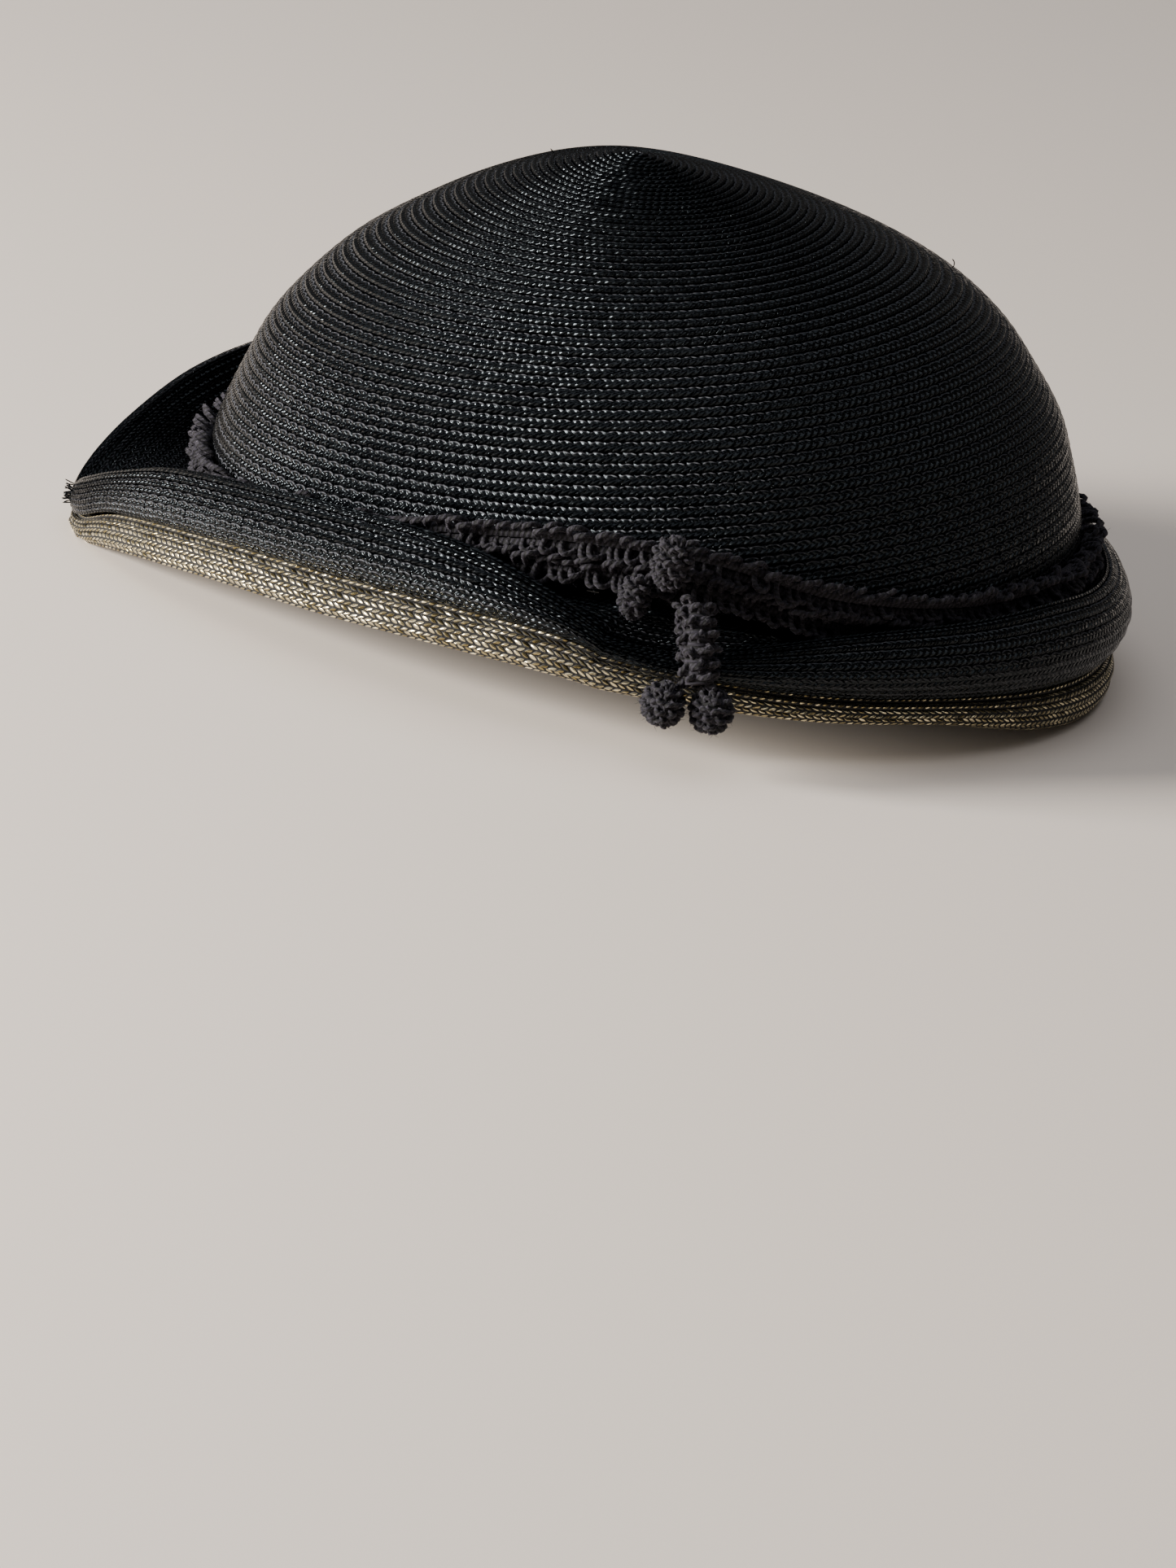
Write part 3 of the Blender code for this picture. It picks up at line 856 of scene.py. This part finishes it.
@dataclass(frozen=True)
class Plait:
    """The pattern of a flat plait: two lines of slanting floats that meet along the middle of each row.

    Lengths are in millimetres, as the braid's map is.
    """

    float_length: float = 1.7
    slant: float = 0.55
    row_shift: float = 0.37
    roundness_along: float = 1.5
    roundness_across: float = 0.7
    wobble: float = 0.35
    wobble_scale: float = 420.0
    tilt: float = 1.5
    stitch_length: float = 3.7
    stitch_shift: float = 0.31
    stitch_low: float = 0.34
    stitch_rise: float = 0.20
    stitch_width: float = 0.05
    stitch_ends: tuple[float, float] = (0.15, 0.35)

    def place(self, wires: Wiring) -> tuple[Socket, Socket, Socket]:
        """Millimetres along a row, the row's number and the share of its width."""
        parts = wires.node("SeparateXYZ", {0: wires.node("UVMap", uv_map="braid").outputs[0]})
        rows = parts.outputs[1]
        return parts.outputs[0], wires.math("FLOOR", rows), wires.math("FRACT", rows)

    def floats(self, wires: Wiring) -> Floats:
        """The floats, each leaning its own way."""
        along, row, across = self.place(wires)
        body = wires.node("TexCoord").outputs["Object"]
        noise = wires.node("TexNoise", {"Vector": body, "Scale": self.wobble_scale, "Detail": 1.0})
        along = wires.math("MULTIPLY_ADD", noise.outputs[0], self.wobble, along)
        side = wires.math("GREATER_THAN", across, 0.5)
        away = wires.math("ABSOLUTE", wires.math("SUBTRACT", across, 0.5))
        phase = wires.math("MULTIPLY_ADD", along, 1.0 / self.float_length, row)
        # Each row is set on by a part of a float, so that floats don't line up across rows
        phase = wires.math("MULTIPLY_ADD", row, self.row_shift, phase)
        phase = wires.math("MULTIPLY_ADD", away, 2 * self.slant, phase)
        phase = wires.math("MULTIPLY_ADD", side, 0.5, phase)
        inside = wires.math("FRACT", phase)
        half = wires.math("FRACT", wires.math("MULTIPLY", across, 2.0))
        long_hill = wires.math("POWER", wires.arch(inside), self.roundness_along)
        cross_hill = wires.math("POWER", wires.arch(half), self.roundness_across)
        hill = wires.math("MULTIPLY", long_hill, cross_hill)
        cell = wires.node("CombineXYZ", {0: wires.math("FLOOR", phase), 1: row, 2: side}).outputs[0]
        chance = wires.node("TexWhiteNoise", {"Vector": cell})
        chances = wires.node("SeparateColor", {0: chance.outputs[1]}).outputs
        height = hill
        for share, number in ((inside, chances[0]), (half, chances[1])):
            lean = wires.math("MULTIPLY", wires.math("SUBTRACT", number, 0.5), self.tilt)
            height = wires.math("MULTIPLY_ADD", lean, wires.math("SUBTRACT", share, 0.5), height)
        return Floats(height, hill, chance.outputs[0])

    def thread(self, wires: Wiring) -> Socket:
        """The sewing thread, 1 on it and 0 off it: long arched stitches just below each seam."""
        along, row, across = self.place(wires)
        phase = wires.math("MULTIPLY", row, self.stitch_shift)
        phase = wires.math("MULTIPLY_ADD", along, 1.0 / self.stitch_length, phase)
        arch = wires.arch(wires.math("FRACT", phase))
        line = wires.math("MULTIPLY_ADD", arch, -self.stitch_rise, self.stitch_low)
        away = wires.math("ABSOLUTE", wires.math("SUBTRACT", across, line))
        on = wires.remap(away, (self.stitch_width * 0.6, self.stitch_width * 1.4), (1.0, 0.0))
        return wires.math("MULTIPLY", on, wires.remap(arch, self.stitch_ends))


@dataclass(frozen=True)
class BlackStrawBraid:
    """Glossy black straw, dyed and lacquered, plaited and sewn: dark, with a small cool glint on each float."""

    plait: Plait = Plait()
    # gap: painted shade, the straw's own black darkened in the hollows between floats
    gap: str = "#010102"
    straw: str = "#040506"
    thread: str = "#424246"
    tint: str = "#d6e6f0"
    specular: float = 0.26
    roughness: tuple[float, float] = (0.112, 0.336)
    thread_roughness: float = 0.7
    relief: float = 0.32 * MM

    def build(self) -> Material:
        """Make the material."""
        wires = Wiring.begin("black_straw_braid")
        floats, thread = self.plait.floats(wires), self.plait.thread(wires)
        # Painted shade: the straw is painted darker in the gaps between floats, where the relief is low
        colour = wires.mix(floats.hill, linear(self.gap), linear(self.straw))
        rough = wires.math("MAXIMUM", wires.remap(floats.chance, onto=self.roughness), thread)
        finish = {
            "Base Color": wires.mix(thread, colour, linear(self.thread)),
            "Roughness": wires.math("MINIMUM", rough, self.thread_roughness),
            "Normal": wires.bump(floats.height, self.relief),
            "Specular IOR Level": self.specular,
            "Specular Tint": linear(self.tint),
        }
        return wires.shade(finish)


@dataclass(frozen=True)
class GoldMetallicBraid:
    """Braid of flat champagne-gold metallic strip over black: bright flat floats outlined in black."""

    plait: Plait = Plait(1.9, 0.85, roundness_along=0.55, roundness_across=0.5, tilt=2.6)
    gap: str = "#0c0a08"
    pale: str = "#efe2ba"
    deep: str = "#8a7c52"
    strip_edge: tuple[float, float] = (0.66, 0.80)
    gap_roughness: float = 0.75
    roughness: float = 0.22
    shine: float = 0.92
    relief: float = 0.36 * MM

    def build(self) -> Material:
        """Make the material."""
        wires = Wiring.begin("gold_metallic_braid")
        floats = self.plait.floats(wires)
        gold = wires.mix(floats.chance, linear(self.deep), linear(self.pale))
        strip = wires.remap(floats.hill, self.strip_edge)
        finish = {
            "Base Color": wires.mix(strip, linear(self.gap), gold),
            "Metallic": wires.math("MULTIPLY", strip, self.shine),
            "Roughness": wires.remap(strip, onto=(self.gap_roughness, self.roughness)),
            "Normal": wires.bump(floats.height, self.relief),
        }
        return wires.shade(finish)


@dataclass(frozen=True)
class CrochetYarn:
    """Black wool-like yarn, two plies twisted: matt, slightly violet, with a faint bloom of fibres."""

    # The first two colours paint shade and light: black in the ply grooves as painted shade, violet-grey on the
    # ply crowns as painted highlight
    groove_shade_black: str = "#010101"
    light: str = "#26232c"
    bloom: str = "#8d8894"
    bloom_share: float = 0.30
    bloom_roughness: float = 0.4
    twist: float = 2.4
    streaks: float = 0.35
    fibre_scale: float = 4.5
    ply_share: float = 0.24
    shade_and_highlight_span: tuple[float, float] = (0.30, 0.85)
    roughness: float = 0.78
    specular: float = 0.3
    relief: float = 0.42 * MM
    strength: float = 0.9

    def build(self) -> Material:
        """Make the material."""
        wires = Wiring.begin("black_crochet_yarn")
        parts = wires.node("SeparateXYZ", {0: wires.node("UVMap", uv_map="yarn").outputs[0]})
        along, around = parts.outputs[0], parts.outputs[1]
        turns = wires.math("MULTIPLY_ADD", around, 2.0, wires.math("MULTIPLY", along, 2.0 / self.twist))
        ply = wires.math("SINE", wires.math("MULTIPLY", turns, 2 * math.pi))
        grain = wires.node("CombineXYZ", {0: turns, 1: wires.math("MULTIPLY", along, self.streaks)}).outputs[0]
        noise = {"Vector": grain, "Scale": self.fibre_scale, "Detail": 3.0, "Roughness": 0.6}
        height = wires.math("MULTIPLY_ADD", ply, self.ply_share, wires.node("TexNoise", noise).outputs[0])
        # Painted shade and highlight: the colour follows the relief, dark in the ply grooves and light on the
        # ply crowns, with random fibre tone from the noise
        shade = wires.remap(height, self.shade_and_highlight_span)
        finish = {
            "Base Color": wires.mix(shade, linear(self.groove_shade_black), linear(self.light)),
            "Normal": wires.bump(height, self.relief, self.strength),
            "Roughness": self.roughness,
            "Specular IOR Level": self.specular,
            "Sheen Weight": self.bloom_share,
            "Sheen Roughness": self.bloom_roughness,
            "Sheen Tint": linear(self.bloom),
        }
        return wires.shade(finish)


@dataclass(frozen=True)
class PaleFloor:
    """A smooth, matt, pale warm floor."""

    colour: str = "#e4d9cd"
    roughness: float = 0.85

    def build(self) -> Material:
        """Make the material."""
        finish = {"Base Color": linear(self.colour), "Roughness": self.roughness}
        return Wiring.begin("pale_floor").shade(finish)


# Pieces of the hat


@dataclass
class Crown:
    """The crown: one braid sewn in a spiral from the tip down, its rows level about a leaning axis."""

    form: HatForm
    columns: int = 180
    samples: int = 150
    row_at_tip: float = 1.9 * MM
    row_below: float = 2.45 * MM
    narrow_until: float = 15.0 * MM
    wide_from: float = 60.0 * MM
    even_until: float = 18.0 * MM
    level_from: float = 95.0 * MM
    level_share: float = 0.85
    wall: float = 1.0 * MM

    def leaning(self, points: np.ndarray) -> np.ndarray:
        """The points measured about the rows' leaning axis: side, backwards and up."""
        lean = self.form.row_lean
        back = points[..., 1] - self.form.axis[1]
        up = points[..., 2] - self.form.row_level
        side = points[..., 0] - self.form.axis[0]
        along = back * math.cos(lean) + up * math.sin(lean)
        high = -back * math.sin(lean) + up * math.cos(lean)
        return np.stack([side, along, high], axis=-1)

    def row_numbers(self, walked: np.ndarray) -> np.ndarray:
        """The row number at each length walked from the tip down the crown's side."""
        grown = smooth_share(walked, self.narrow_until, self.wide_from)
        width = self.row_at_tip + (self.row_below - self.row_at_tip) * grown
        steps = np.diff(walked) / ((width[1:] + width[:-1]) / 2)
        return np.concatenate([[0.0], np.cumsum(steps)])

    def surface(self) -> np.ndarray:
        """Lines of the outer face from the tip to the foot, even about the rows' axis."""
        fine = np.linspace(0.0, 360.0, 361)[:-1]
        lines = self.form.crown_lines(fine, self.samples)
        leaned = self.leaning(lines)
        tip = leaned[0, 0]
        flat = leaned[..., :2] - tip[:2]
        azimuth = np.degrees(np.arctan2(flat[..., 0], -flat[..., 1])) % 360.0
        turns = np.arange(self.columns) * 360.0 / self.columns
        picked = np.zeros((self.columns, self.samples, 3))
        picked[:, 0] = lines[0, 0]
        for j in range(1, self.samples):
            order = np.argsort(azimuth[:, j])
            for axis in range(3):
                values = lines[order, j, axis]
                picked[:, j, axis] = np.interp(turns, azimuth[order, j], values, period=360.0)
        return picked

    def rows(self, picked: np.ndarray) -> np.ndarray:
        """The row number at each point: rows of even width near the tip, nearly level ones below."""
        walked = line_lengths(picked)
        fallen = -self.leaning(picked)[..., 2]
        side = self.columns // 4
        numbers = self.row_numbers(walked[side])

        def read(places: np.ndarray) -> np.ndarray:
            """Rows as the side's line has them, carried on at the lower rows' width past its end."""
            past = np.maximum(places - places[side, -1], 0.0)
            return np.interp(places, places[side], numbers) + past / self.row_below

        even, level = read(walked), read(fallen)
        blend = smooth_share(walked, self.even_until, self.level_from) * self.level_share
        rows = even + (level - even) * blend
        return np.maximum.accumulate(rows, axis=1) + np.arange(self.samples) * LEAST_STEP

    def build(self, material: Material) -> Piece:
        """Build and dress the crown."""
        picked = self.surface()
        rows = self.rows(picked)
        last = int(math.ceil(rows.max())) + 1
        shell = BraidedShell("crown_braid", Sewing.SPIRAL, 0, last, self.wall)
        return settle(shell.build(picked, rows), Slot.BLACK_STRAW, material, "crown")


@dataclass
class Brim:
    """A rolled brim of braid: rows of even width in from a crest line, and a set number out from it."""

    name: str
    node: str
    slot: Slot
    lines: np.ndarray
    crest: int
    outer_rows: int
    row_width: float = 2.4 * MM
    steps: int = 6
    clear: float = 0.30 * MM
    wall: float = 0.9 * MM

    def build(self, material: Material) -> Piece:
        """Build and dress the brim."""
        fine = smooth_line(self.lines, self.steps)
        fine[..., 2] = np.maximum(fine[..., 2], self.clear)
        walked = line_lengths(fine)
        crest = self.crest * self.steps
        inner = walked - walked[:, crest : crest + 1]
        outer_length = walked[:, -1:] - walked[:, crest : crest + 1]
        rows = np.where(inner < 0, inner / self.row_width, inner / outer_length * self.outer_rows)
        rows = rows + np.arange(fine.shape[1]) * LEAST_STEP
        first = int(math.floor(rows.min())) - 1
        shell = BraidedShell(self.name, Sewing.RINGS, first, self.outer_rows, self.wall)
        return settle(shell.build(fine, rows), self.slot, material, self.node)


@dataclass(frozen=True)
class BandRow:
    """One yarn of the band: its share of the band's height above the middle, its phase and its seed."""

    level: float
    phase: float
    seed: int


BAND_ROWS = (
    BandRow(0.25, 0.0, 1),
    BandRow(0.25, math.pi, 2),
    BandRow(-0.24, 0.8, 3),
    BandRow(-0.24, 0.8 + math.pi, 4),
)


@dataclass
class CrochetBand:
    """The crocheted band: two rows of looped stitches round the foot of the crown, over a thin core."""

    form: HatForm
    stitch: Stitch = Stitch(pitch=5.6 * MM, height=6.2 * MM, depth=3.8 * MM, uneven=2.2)
    yarn: Yarn = Yarn(radius=0.66 * MM)
    yarn_offset: float = 0.4 * MM
    fuzz: Fuzz = Fuzz(each=2.4 * MM)
    core: Yarn = Yarn(radius=1.2 * MM, sides=6)
    core_offset: float = -1.0 * MM
    core_levels: tuple[float, ...] = (0.30, 0.10, -0.10, -0.30)

    def path(self, height_share: float, offset: float) -> tuple[np.ndarray, np.ndarray, np.ndarray]:
        """A line round the band with its upright and outward directions."""
        turns = np.linspace(0.0, 360.0, 721)
        middle = self.form.band_height_at(turns) + self.form.band_height * height_share
        line = self.form.plan(self.form.band_outline(offset), turns, middle)
        upright = np.tile((0.0, 0.0, 1.0), (len(turns), 1))
        outward = unit(np.cross(np.gradient(line, axis=0), upright))
        return line, upright, outward

    def build(self, material: Material) -> Piece:
        """Build and dress the band."""
        lines = []
        for row in BAND_ROWS:
            line, upright, outward = self.path(row.level, self.yarn_offset)
            lines.append(self.stitch.row(line, upright, outward, row.phase, row.seed))
        obj = self.yarn.build("crochet_band_yarn", lines)
        settle(self.fuzz.build("crochet_band_fuzz", lines, self.yarn, 5), Slot.CROCHET, material)
        core_lines = [self.path(level, self.core_offset)[0] for level in self.core_levels]
        settle(self.core.build("crochet_band_core", core_lines), Slot.CROCHET, material)
        return settle(obj, Slot.CROCHET, material, "crochet_band")


@dataclass
class CrochetLump:
    """A knot or ball of crochet: a row of stitches wound in a spiral over an egg shape, round a core."""

    node: str
    stitch: Stitch = Stitch(pitch=2.7 * MM, height=2.3 * MM, depth=1.5 * MM)
    yarn: Yarn = Yarn(radius=0.55 * MM)
    row_gap: float = 2.0 * MM
    seed: int = 10

    def build(self, material: Material) -> Piece:
        """Build and dress the lump, in the place of its solid."""
        low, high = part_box(self.node)
        centre = np.array((low + high) / 2)
        half = np.array((high - low) / 2) - (self.yarn.radius + self.stitch.depth * 0.35)
        coils = max(2.5, math.pi * float(half.mean()) / self.row_gap)
        t = np.linspace(0.04, 0.96, int(coils * 40))
        polar, azimuth = np.pi * t, 2 * np.pi * coils * t
        across = np.sin(polar)
        sphere = np.stack([across * np.cos(azimuth), across * np.sin(azimuth), np.cos(polar)], axis=1)
        path = centre + sphere * half
        outward = unit(sphere / half)
        across = unit(np.cross(outward, np.gradient(path, axis=0)))
        line = self.stitch.row(path, across, outward, 0.0, self.seed)
        obj = self.yarn.build(self.node + "_yarn", [line])
        settle(Fuzz().build(self.node + "_fuzz", [line], self.yarn, self.seed + 50), Slot.CROCHET, material)
        settle(self.core(centre, half * 0.98), Slot.CROCHET, material)
        return settle(obj, Slot.CROCHET, material, self.node)

    def core(self, centre: np.ndarray, half: np.ndarray) -> Piece:
        """The stuffing under the stitches, a soft egg shape."""
        deselect_all()
        bpy.ops.mesh.primitive_uv_sphere_add(segments=20, ring_count=12, radius=1.0, location=tuple(centre))
        obj = bpy.context.object
        obj.name = self.node + "_core"
        obj.scale = tuple(half)
        bpy.ops.object.transform_apply(location=True, rotation=True, scale=True)
        obj.data.uv_layers[0].name = self.yarn.layer
        smooth_shade(obj, 180.0)
        return obj


@dataclass
class DropCord:
    """The short crocheted tie over the brim: a row of stitches wound round it from end to end."""

    node: str = "drop_cord"
    thickness: float = 9.6 * MM
    stitch: Stitch = Stitch(pitch=3.8 * MM, height=3.4 * MM, depth=2.2 * MM, uneven=1.5)
    yarn: Yarn = Yarn(radius=0.66 * MM)
    coil_gap: float = 3.0 * MM

    def route(self) -> np.ndarray:
        """The tie's middle line, from its solid's upper end to its lower end."""
        low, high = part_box(self.node)
        reach = self.thickness / 2
        top = np.array([low.x + reach * 0.95, low.y + reach, high.z - reach * 0.45])
        foot = np.array([high.x - reach * 0.9, high.y - reach, low.z + reach * 0.3])
        middle = (top + foot) / 2 + np.array([0.6, 0.0, 0.9]) * MM
        return smooth_line(np.stack([top, middle, foot])[None], 20)[0]

    def build(self, material: Material) -> Piece:
        """Build and dress the tie."""
        route = self.route()
        walked = line_lengths(route)
        radius = self.thickness / 2 - self.yarn.radius - self.stitch.depth * 0.4
        coils = walked[-1] / self.coil_gap
        t = np.linspace(0.0, 1.0, int(coils * 30))
        middle = points_at(t * walked[-1], walked, route)
        along = unit(np.gradient(middle, axis=0))
        side = unit(np.cross(along, (0.0, 1.0, 0.0)))
        other = np.cross(along, side)
        angle = (2 * np.pi * coils * t)[:, None]
        outward = side * np.cos(angle) + other * np.sin(angle)
        path = middle + outward * radius
        line = self.stitch.row(path, along, outward, 0.0, 30)
        obj = self.yarn.build("drop_cord_yarn", [line])
        settle(Fuzz().build("drop_cord_fuzz", [line], self.yarn, 31), Slot.CROCHET, material)
        core = Yarn(radius=radius, sides=12)
        settle(core.build("drop_cord_core", [middle]), Slot.CROCHET, material)
        return settle(obj, Slot.CROCHET, material, self.node)


@dataclass
class FrayedEnd:
    """The frayed end of the braid at the front tip: a small fan of cut straws."""

    node: str = "braid_end"
    straws: int = 26
    rooted: float = 2.2 * MM
    inset: float = 1.0 * MM
    straw: Yarn = Yarn(radius=0.16 * MM, sides=4, layer="braid")

    def build(self, material: Material) -> Piece:
        """Build and dress the frayed end."""
        low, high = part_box(self.node)
        rng = np.random.default_rng(5)
        lines = []
        for _ in range(self.straws):
            side = rng.uniform(low.x, high.x) * 0.6 + 0.4 * (low.x + high.x) / 2
            up = rng.uniform(low.z + self.inset, high.z - self.inset)
            start = np.array([side, high.y + self.rooted, up])
            end = start.copy()
            end[1] = rng.uniform(low.y, (low.y + high.y) / 2)
            end[0] += rng.normal(0.0, 0.9) * MM
            end[2] += rng.normal(0.0, 1.1) * MM
            middle = (start + end) / 2 + rng.normal(0.0, 0.25, 3) * MM
            lines.append(smooth_line(np.stack([start, middle, end])[None], 4)[0])
        obj = self.straw.build("frayed_straws", lines)
        return settle(obj, Slot.BLACK_STRAW, material, self.node)


@dataclass(frozen=True)
class LooseEnd:
    """A straw end that stands out of the crown: where it leaves the face, and which way it points."""

    turn: float
    below_tip: float
    length: float
    lean: tuple[float, float, float]


LOOSE_ENDS = (
    LooseEnd(turn=352.0, below_tip=20.0 * MM, length=2.4 * MM, lean=(0.1, -0.4, 1.0)),
    LooseEnd(turn=192.0, below_tip=84.0 * MM, length=2.0 * MM, lean=(0.1, -0.2, 1.0)),
)


@dataclass
class LooseStraws:
    """The few straw ends that stand out of the crown's braid."""

    crown: Crown
    straw: Yarn = Yarn(radius=0.14 * MM, sides=5, layer="braid")

    def build(self, material: Material) -> Piece:
        """Build and dress the loose ends."""
        surface = self.crown.surface()
        lines = []
        for end in LOOSE_ENDS:
            line = surface[round(end.turn / 360.0 * self.crown.columns) % self.crown.columns]
            walked = line_lengths(line)
            start = points_at(end.below_tip, walked, line)
            way = unit(np.array(end.lean)) * end.length
            bend = np.array([0.0, 0.25, 0.0]) * end.length
            points = np.stack([start - way * 0.3, start + way * 0.5 + bend, start + way])
            lines.append(smooth_line(points[None], 4)[0])
        return settle(self.straw.build("loose_straws", lines), Slot.BLACK_STRAW, material)


# Camera, floor and light


@dataclass(frozen=True)
class SoftLight:
    """A soft rectangular light that faces the hat."""

    name: str
    place: tuple[float, float, float]
    size: tuple[float, float]
    power: float
    colour: str

    def build(self, target: Vector) -> None:
        """Make the light, turned to a point."""
        data = bpy.data.lights.new(self.name, "AREA")
        data.shape = "RECTANGLE"
        data.size, data.size_y = self.size
        data.energy = self.power
        data.color = linear(self.colour)[:3]
        obj = bpy.data.objects.new(self.name, data)
        bpy.context.scene.collection.objects.link(obj)
        obj.location = self.place
        obj.rotation_euler = (target - Vector(self.place)).to_track_quat("-Z", "Y").to_euler()


# A window low on the hat's front left, and a weak fill from above
LIGHTS = (
    SoftLight("window", (0.45, -1.50, 0.42), (0.45, 0.55), 104.0, "#fffaf4"),
    SoftLight("ceiling", (0.0, -0.3, 2.4), (3.6, 3.6), 44.0, "#f2f4fb"),
)


@dataclass(frozen=True)
class Studio:
    """The camera, floor and lights. The camera stands where the photograph was taken from."""

    picture: tuple[int, int] = (1445, 1927)
    focal_pixels: float = 6156.0
    eye: tuple[float, float, float] = (1.1334, -0.0561, 0.4052)
    right: tuple[float, float, float] = (-0.00479, 0.98871, 0.14978)
    up: tuple[float, float, float] = (-0.37260, -0.14076, 0.91725)
    sensor: float = 36.0
    floor_size: float = 40.0
    lit_point: tuple[float, float, float] = (0.0, 0.0, 0.05)
    room_colour: str = "#dcd6d2"
    room_strength: float = 0.10

    def camera(self) -> None:
        """Make the camera. Its lens is the one whose picture has the photograph's scale."""
        data = bpy.data.cameras.new("camera")
        data.sensor_width = self.sensor
        data.lens = self.focal_pixels / max(self.picture) * self.sensor
        data.clip_end = 50.0
        obj = bpy.data.objects.new("camera", data)
        bpy.context.scene.collection.objects.link(obj)
        right, up = Vector(self.right).normalized(), Vector(self.up).normalized()
        back = right.cross(up).normalized()
        turn = Matrix((right, up, back)).transposed()
        obj.matrix_world = Matrix.Translation(self.eye) @ turn.to_4x4()
        bpy.context.scene.camera = obj

    def floor(self) -> None:
        """A wide pale floor."""
        deselect_all()
        bpy.ops.mesh.primitive_plane_add(size=self.floor_size, location=(0.0, 0.0, 0.0))
        obj = bpy.context.object
        obj.name = "floor"
        obj.data.materials.append(PaleFloor().build())

    def lights(self) -> None:
        """The lights and a little light from all round."""
        for light in LIGHTS:
            light.build(Vector(self.lit_point))
        world = bpy.data.worlds.new("room")
        world.use_nodes = True
        background = world.node_tree.nodes["Background"]
        background.inputs[0].default_value = linear(self.room_colour)
        background.inputs[1].default_value = self.room_strength
        bpy.context.scene.world = world


def main() -> None:
    """Build the camera, floor and lights, then each piece of the hat in order."""
    logging.basicConfig(level=logging.INFO, format="%(name)s: %(message)s")
    deselect_all()
    studio = Studio()
    studio.camera()
    studio.floor()
    studio.lights()
    form = HatForm()
    black, gold, crochet = BlackStrawBraid().build(), GoldMetallicBraid().build(), CrochetYarn().build()
    turns = np.arange(BRIM_COLUMNS) * 360.0 / BRIM_COLUMNS
    crown = Crown(form)
    crown.build(black)
    LooseStraws(crown).build(black)
    upper = form.upper_lines(turns)
    lower = form.lower_lines(turns)
    upper_brim = Brim("upper_brim_braid", "upper_brim", Slot.BLACK_STRAW, upper, crest=5, outer_rows=8)
    upper_brim.build(black)
    lower_brim = Brim("lower_brim_braid", "lower_brim", Slot.GOLD_STRAW, lower, crest=3, outer_rows=7)
    lower_brim.row_width = 3.4 * MM
    lower_brim.build(gold)
    CrochetBand(form).build(crochet)
    CrochetLump("knot", row_gap=2.2 * MM, seed=11).build(crochet)
    CrochetLump("knot_loop", seed=12).build(crochet)
    DropCord().build(crochet)
    CrochetLump("front_ball", seed=13).build(crochet)
    CrochetLump("back_ball", seed=14).build(crochet)
    FrayedEnd().build(black)
    deselect_all()


if __name__ == "__main__":
    main()
